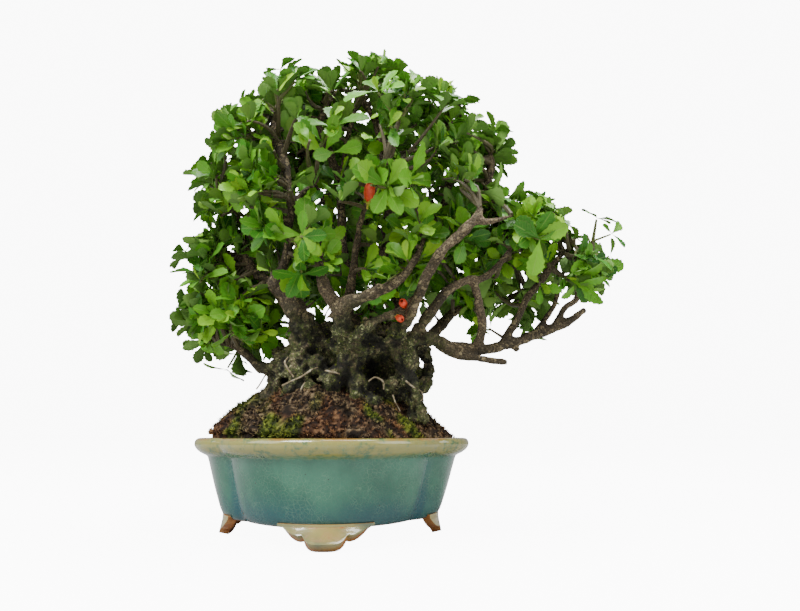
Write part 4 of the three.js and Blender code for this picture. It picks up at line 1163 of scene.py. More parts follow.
# The first and last point of each limb's bare stretch
BARE = {
    "leftUpright": (3, 11), "upperLeft": (4, 7), "upperLeftThin": (1, 3), "upperMiddle": (4, 7),
    "frontCurve": (1, 7), "frontCurveLeft": (0, 2), "frontLow": (0, 4), "rightSlant": (1, 6),
    "rightUpright": (0, 5), "rightMain": (3, 11), "rightUnder": (0, 3), "rightDiagonal": (1, 5),
    "rightMiddle": (1, 4), "rightEndUpper": (0, 2), "rightEndLower": (0, 2), "leftDark": (2, 4),
    "leftLow": (1, 5), "upperRightKnob": (2, 4), "centre": (1, 3),
}
BARE_WIDTH = 7
# How far leaves keep from the limbs, and a leaf's tip and middle from the part's box
CLEAR_OF_WOOD = 2
TIP_SPARE = 4
MIDDLE_SPARE = 9


def flat(point):
    """Where the line of sight to a point cuts the plane through the pot's middle."""
    share = -EYE.y / (point[1] - EYE.y)
    return EYE.x + (point[0] - EYE.x) * share, EYE.z + (point[2] - EYE.z) * share


def in_outline(point, grown=1):
    """True if the point is seen inside the crown's outline, or inside that outline drawn larger."""
    x, z = flat(point)
    x = CROWN_MIDDLE[0] + (x - CROWN_MIDDLE[0]) / grown
    z = CROWN_MIDDLE[1] + (z - CROWN_MIDDLE[1]) / grown
    inside = False
    for (x0, z0), (x1, z1) in zip(CROWN_OUTLINE, CROWN_OUTLINE[1:] + CROWN_OUTLINE[:1]):
        if (z0 > z) != (z1 > z) and x < x0 + (x1 - x0) * (z - z0) / (z1 - z0):
            inside = not inside
    return inside


bare_spots = []
for name, (first_row, last_row) in BARE.items():
    bare_spots.extend(smoothed(LIMBS[name][first_row:last_row + 1], 6)[:, :3])
bare_spots = np.array(bare_spots)
bare_ways = bare_spots - np.array(EYE)
bare_far = np.linalg.norm(bare_ways, axis=1)
bare_ways /= bare_far[:, None]
limb_spots = np.vstack(limb_rows)
BOX_LOW = (CAD_LOW - POT_MIDDLE) / MM
BOX_HIGH = (CAD_HIGH - POT_MIDDLE) / MM


def hides_limb(point):
    """True if the point is in front of a bare limb, as seen from the camera."""
    way = np.array(point) - np.array(EYE)
    far = np.linalg.norm(way)
    beside = np.linalg.norm(np.cross(bare_ways, way / far), axis=1) * far
    return bool(np.any((beside < BARE_WIDTH) & (bare_far > far)))


def hides_bud(leaf):
    to_bud = BUD - EYE
    for share in (0.25, 0.5, 0.75, 1):
        way = along_leaf(leaf, share) - EYE
        if way.cross(to_bud).length / to_bud.length < BUD_WIDTH and way.length < to_bud.length:
            return True
    return False


def in_box(point, spare):
    return all(low + spare < side < high - spare for low, side, high in zip(BOX_LOW, point, BOX_HIGH))


def off_wood(point):
    far = np.linalg.norm(limb_spots[:, :3] - np.array(point), axis=1)
    return bool(np.all(far > limb_spots[:, 3] + CLEAR_OF_WOOD))


# %% Shoots and leaves
LEAF_LENGTH = 25
SMALL_LEAF = 20
LEAF_TRIES = 3


def along_leaf(leaf, share):
    """A point on the leaf's rib, from 0 at the stalk to 1 at the tip."""
    return leaf["base"] + (leaf["along"] * share - leaf["facing"] * (0.17 * share**2)) * leaf["length"]


def leaf_at(shoot, base, turn, lift, length):
    first, second = axes_across(shoot["axis"])
    out = first * math.cos(turn) + second * math.sin(turn)
    along = out * math.cos(lift) + shoot["axis"] * math.sin(lift)
    facing = shoot["axis"] * math.cos(lift) - out * math.sin(lift)
    return {"base": base, "along": along, "facing": facing, "length": length}


def leaf_on(shoot, k, tries, step):
    """The k-th leaf down from a shoot's tip. Each new try turns it on, lifts it and shortens it."""
    seed = shoot["seed"]
    turn = k * GOLDEN_TURN + math.tau * draw(seed + 11) + 0.8 * tries
    lift = 0.4 + 0.6 * draw(seed + 20 + k) + 0.12 * tries
    length = shoot.get("size", LEAF_LENGTH) * (0.75 + 0.5 * draw(seed + 40 + k)) * (1 - 0.05 * tries)
    return leaf_at(shoot, shoot["tip"] + shoot["down"] * (0.6 + step * k), turn, lift, length)


leaf_count = 0


def put_leaf(bunch, leaf, age, chance, shape=None):
    """Puts a leaf in the bunch and counts it. Without a shape, its chance picks one."""
    global leaf_count
    shape = shape or LEAVES[int(chance * 997) % len(LEAVES)]
    axes = (leaf["along"].cross(leaf["facing"]), leaf["along"], leaf["facing"])
    bunch.put_at(shape, leaf["base"], axes, leaf["length"], age, chance)
    leaf_count += 1


def is_free(leaf, grown=1):
    """True if the leaf keeps clear of the limbs and the first bud, and inside the outline and the box."""
    middle = along_leaf(leaf, 0.6)
    tip = along_leaf(leaf, 1)
    if not (in_box(tip, TIP_SPARE) and in_box(middle, MIDDLE_SPARE)):
        return False
    if not (in_outline(tip, grown) and in_outline(middle, grown)):
        return False
    if hides_bud(leaf) or hides_limb(middle) or hides_limb(tip):
        return False
    return off_wood(middle) and off_wood(tip)


def dress(bunch, shoot, first_leaf, last_leaf, step, grown=1):
    """Puts the free leaves of a shoot on it, and up to two small young ones at its tip."""
    added = 0
    for k in range(first_leaf, last_leaf):
        chance = draw(shoot["seed"] + 70 + k)
        for tries in range(LEAF_TRIES):
            leaf = leaf_on(shoot, k, tries, step)
            if is_free(leaf, grown):
                age = 0.7 * draw(shoot["seed"] + 90 + k) ** 2.2 + (0.25 if k == 0 else 0)
                put_leaf(bunch, leaf, age, chance)
                added += 1
                break
    for k in range(2):
        if draw(shoot["seed"] + 130 + k) < 0.55:
            leaf = leaf_on(shoot, k + 20, 0, 0)
            leaf["along"] = (leaf["along"] + shoot["axis"] * 1.6).normalized()
            leaf["facing"] = (shoot["axis"] - leaf["along"] * shoot["axis"].dot(leaf["along"])).normalized()
            leaf["length"] *= 0.42 + 0.2 * draw(shoot["seed"] + 140 + k)
            if is_free(leaf):
                age = 0.75 + 0.25 * draw(shoot["seed"] + 150 + k)
                put_leaf(bunch, leaf, age, draw(shoot["seed"] + k), YOUNG_LEAF)
                added += 1
    return added


# %% [markdown]
# ## The sprays of the part
#
# Each spray in the part is one twig with a side shoot, and a rosette of a few leaves at both tips. The same
# rules of growth place the detailed twig and leaves exactly there. Where a rule tries several ways, the
# solid itself shows which one it took: the try whose leaf tips lie on the solid's corners.

# %% Where the sprays grow
# The crown is three masses: their middles and half-sizes in millimetres, and the sprays on each
MASSES = [
    {"centre": Vector((13, 0, 293)), "reach": Vector((143, 120, 134)), "count": 32, "lowest": -0.76},
    {"centre": Vector((182, -14, 238)), "reach": Vector((68, 62, 54)), "count": 9, "lowest": -0.75},
    {"centre": Vector((-100, -6, 182)), "reach": Vector((38, 52, 32)), "count": 6, "lowest": -0.8},
]
HIGHEST = 0.98
DEEPEST = 0.82
SHALLOWEST = 0.94
TWIG_SPACING = 9


def on_ball(height, turn):
    """A point on a ball of radius 1, at that height and that turn round it."""
    around = math.sqrt(1 - height**2)
    return Vector((around * math.cos(turn), around * math.sin(turn), height))


def scaled(vector, by):
    return Vector((vector.x * by.x, vector.y * by.y, vector.z * by.z))


def shrunk(vector, by):
    return Vector((vector.x / by.x, vector.y / by.y, vector.z / by.z))


def depth_in(point, mass):
    return shrunk(point - mass["centre"], mass["reach"]).length


def is_bare_room(point):
    """True in front of the burl, low down, where no leaves grow."""
    return point.y < -30 and point.z < 204 and -50 < point.x < 104


wood_places = []
for route in LIMBS.values():
    for start, end in zip(route, route[1:]):
        for share in (0.25, 0.5, 0.75, 1):
            wood_places.append(Vector(start[:3]).lerp(Vector(end[:3]), share))


def nearest_wood(point, taken=()):
    """The nearest place on a limb that isn't too near to those already taken."""
    best = None
    for place in wood_places:
        distance = (place - point).length
        if best and distance >= best[0]:
            continue
        if all((other - place).length > TWIG_SPACING for other in taken):
            best = (distance, place)
    return best[1]


spray_places = []
for number, mass in enumerate(MASSES):
    for i in range(mass["count"]):
        height = mix(HIGHEST, mass["lowest"], (i + 0.4) / mass["count"])
        unit = on_ball(height, i * GOLDEN_TURN + number)
        depth = mix(SHALLOWEST, DEEPEST, draw(i + 50 * number))
        point = scaled(unit, mass["reach"]) * depth + mass["centre"]
        others = [other for other in MASSES if other is not mass]
        if any(depth_in(point, other) < DEEPEST for other in others) or is_bare_room(point):
            continue
        start = nearest_wood(point, [other["start"] for other in spray_places])
        outward = shrunk(unit, mass["reach"]).normalized()
        spray_places.append({"point": point, "start": start, "outward": outward})
print(len(spray_places), "sprays")


# %% Dress the sprays
# How far a rosette sits past its twig's end, and how far a leaf's tip may be from a corner, in millimetres
SEAT = 1.3
ON_CORNER = 0.05
TWIG_TRIES = 24
ROSETTE_TRIES = 12


def twig_route(place, seed, tries):
    """A spray's twig: from the wood over a bend to its tip, and a side shoot from the bend."""
    start, point = place["start"], place["point"]
    reach = (point - start).length
    along = (point - start).normalized()
    side = along.cross(place["outward"]).normalized()
    over = along.cross(side)
    turn = math.tau * draw(seed + 3) + GOLDEN_TURN * tries
    away = side * math.cos(turn) + over * math.sin(turn)
    tip = point + away * 1.5 * tries
    middle = start.lerp(point, 0.52) + away * reach * (0.12 + 0.012 * tries)
    shoot_way = side * (0.8 if draw(seed + 5) < 0.5 else -0.8) + place["outward"] * 0.5
    shoot_way = (shoot_way + UP * 0.3 * (draw(seed + 6) - 0.3)).normalized()
    shoot_tip = middle + shoot_way * (20 + 8 * draw(seed + 7))
    return {"start": start, "middle": middle, "tip": tip, "shoot_tip": shoot_tip, "along": along,
            "shoot_way": shoot_way}


def shoots_of(place, route, seed, number):
    """The rosettes at both tips of a twig."""
    tip_axis = (route["along"] * 0.4 + place["outward"] * 0.8 + UP * 0.3).normalized()
    shoot_axis = (route["shoot_way"] + place["outward"] * 0.5).normalized()
    shoots = [
        {"tip": route["tip"], "axis": tip_axis, "leaves": 4, "seed": seed},
        {"tip": route["shoot_tip"], "axis": shoot_axis, "leaves": 3 if number % 2 else 2, "seed": seed + 60},
    ]
    for shoot in shoots:
        shoot["down"] = (route["middle"] - shoot["tip"]).normalized()
        shoot["tip"] = shoot["tip"] + shoot["axis"] * SEAT
    return shoots


def put_twig(bunch, route):
    bunch.put_straight(route["start"], route["middle"], (2.1, 1.9, 1.7), 0.1)
    bunch.put_straight(route["middle"], route["tip"], (1.7, 1.35, 1), 0.45)
    bunch.put_straight(route["middle"], route["shoot_tip"], (1.25, 1.05, 0.8), 0.7)


def rosette_leaf(shoot, k, tries):
    """The k-th leaf of a rosette of the part. Each new try turns the rosette on and makes it smaller."""
    seed = shoot["seed"]
    around = (k + 0.12 * (draw(seed + 30 + k) - 0.5)) / shoot["leaves"]
    turn = math.tau * (around + draw(seed + 11)) + 0.37 * tries
    lift = 0.12 + 0.34 * draw(seed + 20 + k) + 0.03 * tries
    length = LEAF_LENGTH * (0.8 + 0.4 * draw(seed + 40 + k)) * (1 - 0.03 * tries)
    return leaf_at(shoot, shoot["tip"], turn, lift, length)


def turned_away(leaf, axis):
    """The leaf, turned on round its shoot until it doesn't hide the bud."""
    for degrees in (0, 25, -25, 50, -50, 75, -75, 100):
        turn = Matrix.Rotation(math.radians(degrees), 3, axis)
        turned = {**leaf, "along": turn @ leaf["along"], "facing": turn @ leaf["facing"]}
        if not hides_bud(turned):
            return turned
    return leaf


def solid_leaves(node, shoots):
    """For each leaf of these shoots whose tip is a corner of the solid: its shoot, number and place."""
    found = []
    for shoot in shoots:
        best = []
        for tries in range(ROSETTE_TRIES):
            leaves = [(shoot, k, rosette_leaf(shoot, k, tries)) for k in range(shoot["leaves"])]
            there = [spot for spot in leaves if node.find(along_leaf(spot[2], 1))[2] < ON_CORNER]
            best = there if len(there) > len(best) else best
        found.extend(best)
    return found


spray_bunches = []
spray_shoots = []
for i, place in enumerate(spray_places):
    number = i + 1
    seed = 100 * number + 1
    corners = frame["nodes"][f"spray_{number:02d}"].data.vertices
    node = kdtree.KDTree(len(corners))
    for index, corner in enumerate(corners):
        node.insert((corner.co - POT_MIDDLE) / MM, index)
    node.balance()
    best = []
    for tries in range(TWIG_TRIES):
        route = twig_route(place, seed, tries)
        shoots = shoots_of(place, route, seed, number)
        leaves = solid_leaves(node, shoots)
        if len(leaves) > len(best):
            best, best_route, best_shoots = leaves, route, shoots
    if not best:
        print("no match for spray", number)
        best_route = twig_route(place, seed, 0)
        best_shoots = shoots_of(place, best_route, seed, number)
    bunch = Bunch()
    put_twig(bunch, best_route)
    for shoot, k, leaf in best:
        leaf = turned_away(leaf, shoot["axis"])
        tip = along_leaf(leaf, 1)
        leaf["length"] *= (1 if in_outline(tip) else 0.75) * (1 if in_box(tip, 2) else 0.93)
        age = 0.4 * draw(shoot["seed"] + 90 + k) ** 2
        put_leaf(bunch, leaf, age, draw(shoot["seed"] + 70 + k), LEAVES[0])
    spray_bunches.append(bunch)
    spray_shoots.append((best_route, best_shoots))
print("leaves that follow the solids:", leaf_count)

# %% [markdown]
# ## More leaves on the same twigs
#
# The plain solids could only afford a few leaves. The same shoots now get leaves further down, and each twig
# gets four spurs: very short side shoots with a rosette, which is where an old quince carries most leaves.

# %% Leaves down the shoots, and spurs
SPURS = 4
SPUR_SEED = 20000
OUTLINE_GROWN = 1.08
for i, (bunch, (route, shoots)) in enumerate(zip(spray_bunches, spray_shoots)):
    for shoot in shoots:
        dress(bunch, shoot, 1, 7, 3, OUTLINE_GROWN)
    outward = spray_places[i]["outward"]
    for spur in range(SPURS):
        seed = SPUR_SEED + 100 * i + 10 * spur
        share = 0.35 + 0.6 * draw(seed)
        if share < 0.6:
            foot = route["start"].lerp(route["middle"], share * 1.6)
        else:
            foot = route["middle"].lerp(route["tip"], (share - 0.6) * 2.2)
        sideways = Vector((draw(seed + 1) - 0.5, draw(seed + 2) - 0.5, draw(seed + 3) - 0.3))
        axis = (outward * 0.6 + sideways * 1.6).normalized()
        tip = foot + axis * (7 + 10 * draw(seed + 4))
        shoot = {"tip": tip, "axis": axis, "down": -axis, "seed": seed + 5, "size": SMALL_LEAF}
        if dress(bunch, shoot, 0, 6, 1.1):
            bunch.put_straight(foot, tip, (1.2, 1.05, 0.85), 0.6)
for number, bunch in enumerate(spray_bunches, 1):
    bunch.piece(f"leafy_spray_{number:02d}", "leaf", LEAFY, f"spray_{number:02d}")
print("leaves so far:", leaf_count)

# %% [markdown]
# ## Filling the crown
#
# A real crown is far denser than the part's sprays: every old stem is set with short spurs. More rosettes
# are drawn at random places inside the same three masses, most of them near the surface where the light
# is. Each has its own twig from the nearest wood, apart from those with a single leaf and those whose twig
# would be seen outside the outline.

# %% Rosettes between the sprays
ROSETTES = 420
ROSETTE_SEED = 50000
infill = [Bunch() for _ in range(4)]
for i in range(ROSETTES):
    seed = ROSETTE_SEED + 37 * i
    pick = draw(seed)
    mass = MASSES[0] if pick < 0.74 else MASSES[1] if pick < 0.9 else MASSES[2]
    unit = on_ball(mix(0.97, -0.8, draw(seed + 1)), math.tau * draw(seed + 2))
    depth = mix(0.4, 0.95, draw(seed + 3) ** 0.55)
    point = scaled(unit, mass["reach"]) * depth + mass["centre"]
    if is_bare_room(point) or not in_outline(point) or not in_box(point, 8):
        continue
    start = nearest_wood(point)
    reach = (point - start).length
    outward = shrunk(unit, mass["reach"]).normalized()
    jitter = scatter(seed + 4)
    axis = (outward * 0.7 + UP * 0.6 + jitter * 0.9).normalized()
    bunch = infill[2 * (unit.y >= 0) + (unit.x >= 0)]
    side = jitter * reach * 0.35
    early = start.lerp(point, 0.3) + side
    late = start.lerp(point, 0.7) + side * 0.8
    down = (late - point).normalized()
    size = LEAF_LENGTH if unit.y > 0.15 or depth < 0.6 else SMALL_LEAF
    shoot = {"tip": point, "axis": axis, "down": down, "seed": seed + 7, "size": size}
    added = dress(bunch, shoot, 0, 6, 1.2)
    if added > 1 and in_outline(early) and in_outline(late):
        bunch.put_stem([(*start, 2.3), (*early, 1.9), (*late, 1.4), (*point, 1)], 0.1)
for side, bunch in zip(("front_left", "front_right", "back_left", "back_right"), infill):
    bunch.piece(f"crown_{side}", "leaf", LEAFY)
print("leaves so far:", leaf_count)

# %% [markdown]
# ## Closing gaps
#
# From where the camera stands, hardly any light comes through the middle of the crown: dark leaves far
# inside close it. Drawing places at random leaves holes there. So rays are cast from the camera through the
# crown's outline, in rows. Where a ray meets nothing, a small rosette goes on it, at the depth where it
# comes nearest to a limb, with a stem to that limb.

# %% Rosettes behind the gaps
# Rays pass the plane through the pot's middle in steps of so many mm, inside the outline drawn this much
# smaller. Depths are shares of the way from the camera to that plane.
RAY_STEP = 6
OUTLINE_SHRUNK = 1 / 1.12
DEEP_ROSETTES = 190
DEPTHS = (0.94, 0.98, 1.02, 1.06, 1.1, 1.14, 1.18, 1.22)
STEM_LENGTH = 16
DEEP_SEED = 160000

bpy.context.view_layer.update()
graph = bpy.context.evaluated_depsgraph_get()
deep = {"deep_leaves_left": Bunch(), "deep_leaves_right": Bunch()}
closed = 0
rays = [(x, z) for x in np.arange(-140, 250, RAY_STEP) for z in np.arange(165, 436, RAY_STEP)]
rays.sort(key=lambda ray: draw(int(ray[0] * 31 + ray[1] * 7)))
for i, (x, z) in enumerate(rays):
    through = Vector((x, 0, z))
    if closed == DEEP_ROSETTES or not in_outline(through, OUTLINE_SHRUNK):
        continue
    if bpy.context.scene.ray_cast(graph, EYE, (through - EYE).normalized())[0]:
        continue
    ends = []
    for depth in DEPTHS:
        point = EYE + (through - EYE) * depth
        start = nearest_wood(point)
        ends.append((abs((start - point).length - STEM_LENGTH), point, start))
    _, point, start = min(ends, key=lambda end: end[0])
    if not in_box(point, 20):
        continue
    turn = math.tau * draw(DEEP_SEED + i)
    down = (start - point).normalized()
    lean = Vector((math.cos(turn), -0.4, math.sin(turn))) - down * 0.6
    seed = DEEP_SEED + 10000 + 9 * i
    shoot = {"tip": point, "axis": lean.normalized(), "down": down, "seed": seed, "size": LEAF_LENGTH}
    bunch = deep["deep_leaves_left" if x < CROWN_MIDDLE[0] else "deep_leaves_right"]
    if dress(bunch, shoot, 0, 3, 1.2):
        bunch.put_straight(start, point, (1.4, 1.1, 0.8), 0.1)
        closed += 1
for name, bunch in deep.items():
    bunch.piece(name, "leaf", LEAFY)
print(closed, "gaps closed; leaves in all:", leaf_count)

# %% [markdown]
# ## The mound
#
# Soil is banked up round the roots and covered with a mat of moss, higher on the left than on the right.
# The mat starts as the pot's outline, drawn smaller ring by ring with the same helper as the pot. Each
# point then gets the height that the mound has there, with soft clumps from noise.

# %% Shape of the mound
MOSS_HALF_WIDTH = 100.4
MOSS_LOW = 70.3
# Height at the rim, how much it rises from there to the middle, and the height at which it levels off
MOSS_LEFT = np.array([11, 104, 68])
MOSS_RIGHT = np.array([4, 80, 40])

moss_outline = np.array(lobed_outline(64, 40)) * MOSS_HALF_WIDTH / HALF_WIDTH
outline_turns = np.arctan2(moss_outline[:, 1], moss_outline[:, 0])
outline_fars = np.hypot(moss_outline[:, 0], moss_outline[:, 1])


def rim_share(x, y):
    """How far out a place on the mound lies: 0 in the middle and 1 at the mat's edge."""
    return math.hypot(x, y) / np.interp(math.atan2(y, x), outline_turns, outline_fars, period=math.tau)


def moss_top(x, y):
    share = min(rim_share(x, y), 1)
    edge, slope, cap = mix(MOSS_RIGHT, MOSS_LEFT, 0.5 - 0.5 * math.tanh(x / 60))
    rise = edge + slope * (1 - share)
    clumps = 1.6 * math.sin(x / 6.1 + 0.7) * math.cos(y / 5.3) + 1.1 * math.sin((x + 2 * y) / 9.7)
    clumps += 2.2 * noise.noise(Vector((x, y, 0)) / 7) + 1.1 * noise.noise(Vector((x, y, 40)) / 2.6)
    return MOSS_LOW + 2 + cap * math.tanh(rise / cap) + clumps * min(1, 0.35 + 6 * (1 - share))


moss_shares = [1, 1, *np.linspace(0.985, 0.04, 52)]
moss_rows = [(share, share, MOSS_LOW + row * 0.5) for row, share in enumerate(moss_shares)]
mound = raised("moss_mat", moss_outline, moss_rows)
for vertex in mound.data.vertices:
    x, y, z = (vertex.co - POT_MIDDLE) / MM
    if z > MOSS_LOW + 0.1:
        vertex.co = mm(x, y, moss_top(x, y))
mound.data.update()
smooth(mound, 60)

# %% [markdown]
# ## Patches of colour
#
# This moss is mostly dry: umber and purple brown, with olive and reddish clumps and a few fresh green
# patches. One function says how green, how light and how red each place is, for the mat and for the tufts
# on it, so that they match. The mat keeps the answer for every point in the attribute "mark", and the tufts
# keep it in the four numbers of their faces.

# %% Colours of the moss
# The middle of each fresh patch and its reach, in millimetres
GREEN_PATCHES = [(-76, -42, 7), (-44, -70, 9), (-20, -74, 6), (34, -60, 8), (62, -47, 12), (44, -70, 6),
                 (-92, -10, 8), (10, 72, 14), (-60, 50, 12), (70, 30, 10)]


def moss_marks(x, y, seed):
    """How green, how light and how red a place is, each from 0 to 1."""
    green = max(0.0, 0.35 + 0.9 * noise.noise(Vector((x, y, 90)) / 16))
    for middle_x, middle_y, reach in GREEN_PATCHES:
        far = math.hypot(x - middle_x, y - middle_y) / reach
        green += max(0.0, 1.3 - far) * (0.7 + 0.5 * noise.noise(Vector((x, y, 20)) / 5))
    light = 0.42 + 0.35 * noise.noise(Vector((x, y, 150)) / 6) + 1.2 * (draw(seed) - 0.5)
    red = 0.5 + 0.8 * noise.noise(Vector((x, y, 210)) / 12)
    return [min(max(value, 0.0), 1.0) for value in (green * 0.8, light, red)]


# How high on a tuft the mat counts as lying; the moss material paints shade by that height, so the mat gets
# much of it
MAT_HEIGHT = 0.2
marks = []
for number, vertex in enumerate(mound.data.vertices):
    x, y, z = (vertex.co - POT_MIDDLE) / MM
    green, light, red = moss_marks(x, y, number)
    marks.extend((green, light, 0, red))
mound.data.attributes.new("mark", "FLOAT_COLOR", "POINT").data.foreach_set("color", marks)
blade_map = mound.data.uv_layers.new(name="blade")
for loop in blade_map.data:
    loop.uv = (0.5, MAT_HEIGHT)

moss_brown, sockets, place = new_material("Moss")
green, light, _ = marks_in(place)
red = place.node("ShaderNodeAttribute", {}, out="Alpha", attribute_name="mark")
height = place.node("ShaderNodeUVMap", {}, uv_map="blade").parts()[1]
speck = place.grain(1.3, detail=5, roughness=0.7)
shade = light * 0.8 + speck * 0.5 - 0.19
brown = shade.ramp((0.2, (0.014, 0.008, 0.005)), (0.5, (0.085, 0.05, 0.026)), (0.8, (0.46, 0.33, 0.18)))
rust = shade.ramp((0.2, (0.02, 0.008, 0.005)), (0.5, (0.11, 0.045, 0.02)), (0.8, (0.42, 0.22, 0.1)))
fresh_green = shade.ramp((0.15, (0.02, 0.035, 0.005)), (0.5, (0.11, 0.16, 0.016)), (0.85, (0.4, 0.46, 0.06)))
tone = red.rises(0.35, 0.75).blend(brown, rust)
tone = green.rises(0.3, 0.85).blend(tone, fresh_green)
# Painted shade: low on each tuft, and on the mat between the tufts, the colour goes most of the way to black
tone = (height.rises(0, 0.9) * -0.7 + 0.7).blend(tone, (0.006, 0.004, 0.002, 1))
feed(sockets, Base_Color=tone, Roughness=0.85, Normal=speck.bump(0.8, 0.8), Specular_IOR_Level=0.2)
finished(mound, moss_brown, "moss", "moss_mound")

# %% [markdown]
# ## Tufts
#
# Close up, moss is thousands of little shoots. One tuft is a handful of sharp cones that lean outwards from
# one foot. Each cone is a few triangles, because the tuft is repeated thousands of times. Three tufts with
# other leans and heights are enough for the eye not to see the repeats.


# %% Moss tufts
def tuft(name, blades, lean, thick):
    """Cones that lean out from one foot; the second number of the UV map is the height along a cone."""
    cones = []
    for number in range(blades):
        fresh()
        bpy.ops.mesh.primitive_cone_add(vertices=3, radius1=thick, radius2=0, depth=1, location=(0, 0, 0.5))
        cone = bpy.context.object
        bpy.ops.object.transform_apply(location=True, rotation=False, scale=False)
        for loop in cone.data.loops:
            top = cone.data.vertices[loop.vertex_index].co.z
            cone.data.uv_layers.active.data[loop.index].uv = (0.5, top)
        tall = 0.7 + 0.5 * draw(number + 10 * blades)
        tilt = lean * (0.35 + 0.9 * draw(number + 20 * blades)) * (number > 0)
        turn = number * GOLDEN_TURN
        only(cone)
        bpy.ops.transform.resize(value=(1, 1, tall), center_override=(0, 0, 0))
        bpy.ops.transform.rotate(value=tilt, orient_axis="X", center_override=(0, 0, 0))
        bpy.ops.transform.rotate(value=turn, orient_axis="Z", center_override=(0, 0, 0))
        bpy.ops.object.transform_apply(location=True, rotation=True, scale=True)
        cones.append(cone)
    return Shape(joined(name, cones))


TUFTS = [
    tuft("tuft_star", 6, 1.0, 0.15),
    tuft("tuft_cushion", 5, 0.75, 0.19),
    tuft("tuft_sprig", 4, 0.5, 0.13),
]
print("tufts have", [len(shape.starts) for shape in TUFTS], "faces")

# %% [markdown]
# ## Planting the tufts
#
# The tufts stand on the mat at random places, upright to it, apart from where the wood comes out of it. At
# the rim they are longer and hang out over the pot's lip, which gives the mat its ragged edge. On fresh
# green patches they are taller. The old burl is overgrown too, thinly, on the sides that face up.

# %% Plant the tufts
TUFT_TRIES = 7400
TUFT_SEED = 90000
FRINGE_EVERY = 9
BURL_TRIES = 9000
BURL_SEED = 300000
wood_tree = BVHTree.FromPolygons(
    [vertex.co for vertex in wood.data.vertices], [tuple(face.vertices) for face in wood.data.polygons]
)


def is_in_wood(spot):
    near, normal, _, distance = wood_tree.find_nearest(spot)
    return distance < 0.5 * MM or (spot - near).dot(normal) < 0


def plant(bunch, spot, up, size, marks, seed):
    """Puts one tuft at a place, with its foot a little below the surface."""
    up = (up + scatter(seed + 1) * 0.7).normalized()
    first, second = axes_across(up)
    turn = math.tau * draw(seed + 4)
    across = first * math.cos(turn) + second * math.sin(turn)
    green, light, red = marks
    axes = (across, up.cross(across), up)
    bunch.put_at(TUFTS[seed % len(TUFTS)], spot - up * 0.3, axes, size, green, light, extra=red)


tufts = {"left": Bunch(), "right": Bunch()}
for i in range(TUFT_TRIES):
    seed = TUFT_SEED + 11 * i
    turn = math.tau * draw(seed)
    is_fringe = i % FRINGE_EVERY == 0
    share = 1.005 if is_fringe else math.sqrt(draw(seed + 5))
    far = share * np.interp(turn, outline_turns, outline_fars, period=math.tau)
    x, y = far * math.cos(turn), far * math.sin(turn)
    z = moss_top(x, y) - (2 + 2.5 * draw(seed + 6) if is_fringe else 0)
    if is_in_wood(mm(x, y, z + 0.8)):
        continue
    step = 1.5
    slope_x = (moss_top(x + step, y) - moss_top(x - step, y)) / (2 * step)
    slope_y = (moss_top(x, y + step) - moss_top(x, y - step)) / (2 * step)
    outward = Vector((math.cos(turn), math.sin(turn), 0))
    up = outward + UP * 0.5 if is_fringe else Vector((-slope_x, -slope_y, 1)).normalized()
    marks = moss_marks(x, y, i)
    size = 1.4 + 1.6 * draw(seed + 7) + 0.8 * marks[0] + (1 if is_fringe else 0)
    plant(tufts["left" if x < 0 else "right"], Vector((x, y, z)), up, size, marks, seed)
burl_tufts = 0
for i in range(BURL_TRIES):
    seed = BURL_SEED + 7 * i
    vertex = wood.data.vertices[int(draw(seed) * len(wood.data.vertices))]
    x, y, z = (vertex.co - POT_MIDDLE) / MM
    patch = noise.noise(Vector((x, y, z)) / 11)
    if share_of_burl(x, y, z) > 0.6 and z > 88 and patch > 0.08 and vertex.normal.z > -0.35:
        burl_tufts += 1
        marks = (0.5 + patch, 0.2 + 0.8 * draw(seed + 5), 0.2)
        size = 1.2 + 1.1 * draw(seed + 6)
        plant(tufts["left" if x < 0 else "right"], Vector((x, y, z)), vertex.normal, size, marks, seed)
print(burl_tufts, "tufts on the burl")
for side, bunch in tufts.items():
    bunch.piece(f"moss_tufts_{side}", "moss", [moss_brown])

# %% [markdown]
# ## Flower buds
#
# Three buds are about to open. Five petals are rolled round each other, every one with one edge under its
# neighbour and the other edge over the next. A petal is a small grid that is bent round the bud's axis, a
# little further out on one side than on the other, which makes that overlap, and is then given a thickness.
# The calyx is a green cup on a short stalk, drawn ring by ring, whose rim is cut into five lobes.

# %% Model the buds
# Place of the foot, direction and length of the petals, all in millimetres
BLOOMS = [
    ((26.5, -68, 262), (0.1, -0.75, 0.55), 15),
    ((56.5, -62, 176), (-0.25, -0.9, 0.15), 11),
    ((50, -66, 167), (0.4, -0.8, -0.45), 9),
]
# Share of the length and radius, for a bud of this length
BUD_LENGTH = 15
BUD_PROFILE = [(0, 1.7), (0.22, 3.0), (0.5, 3.95), (0.78, 3.8), (0.96, 2.7), (1.05, 1.5)]
# Height and radius of the stalk and the calyx on it, for the same bud
CUP_PROFILE = [(-7.5, 0.9), (-5, 0.8), (-3, 1.1), (-1.6, 2.2), (-0.2, 2.6), (1.2, 2.9), (2.6, 3.5)]
PETALS = 5


def turned_to(piece, at, axis):
    """Turns a piece that was modelled upright, in millimetres, along an axis and moves it to its place."""
    turn = Vector(axis).to_track_quat("Z", "Y").to_matrix().to_4x4()
    piece.data.transform(Matrix.Translation(mm(*at)) @ turn @ Matrix.Scale(MM, 4))
    return piece


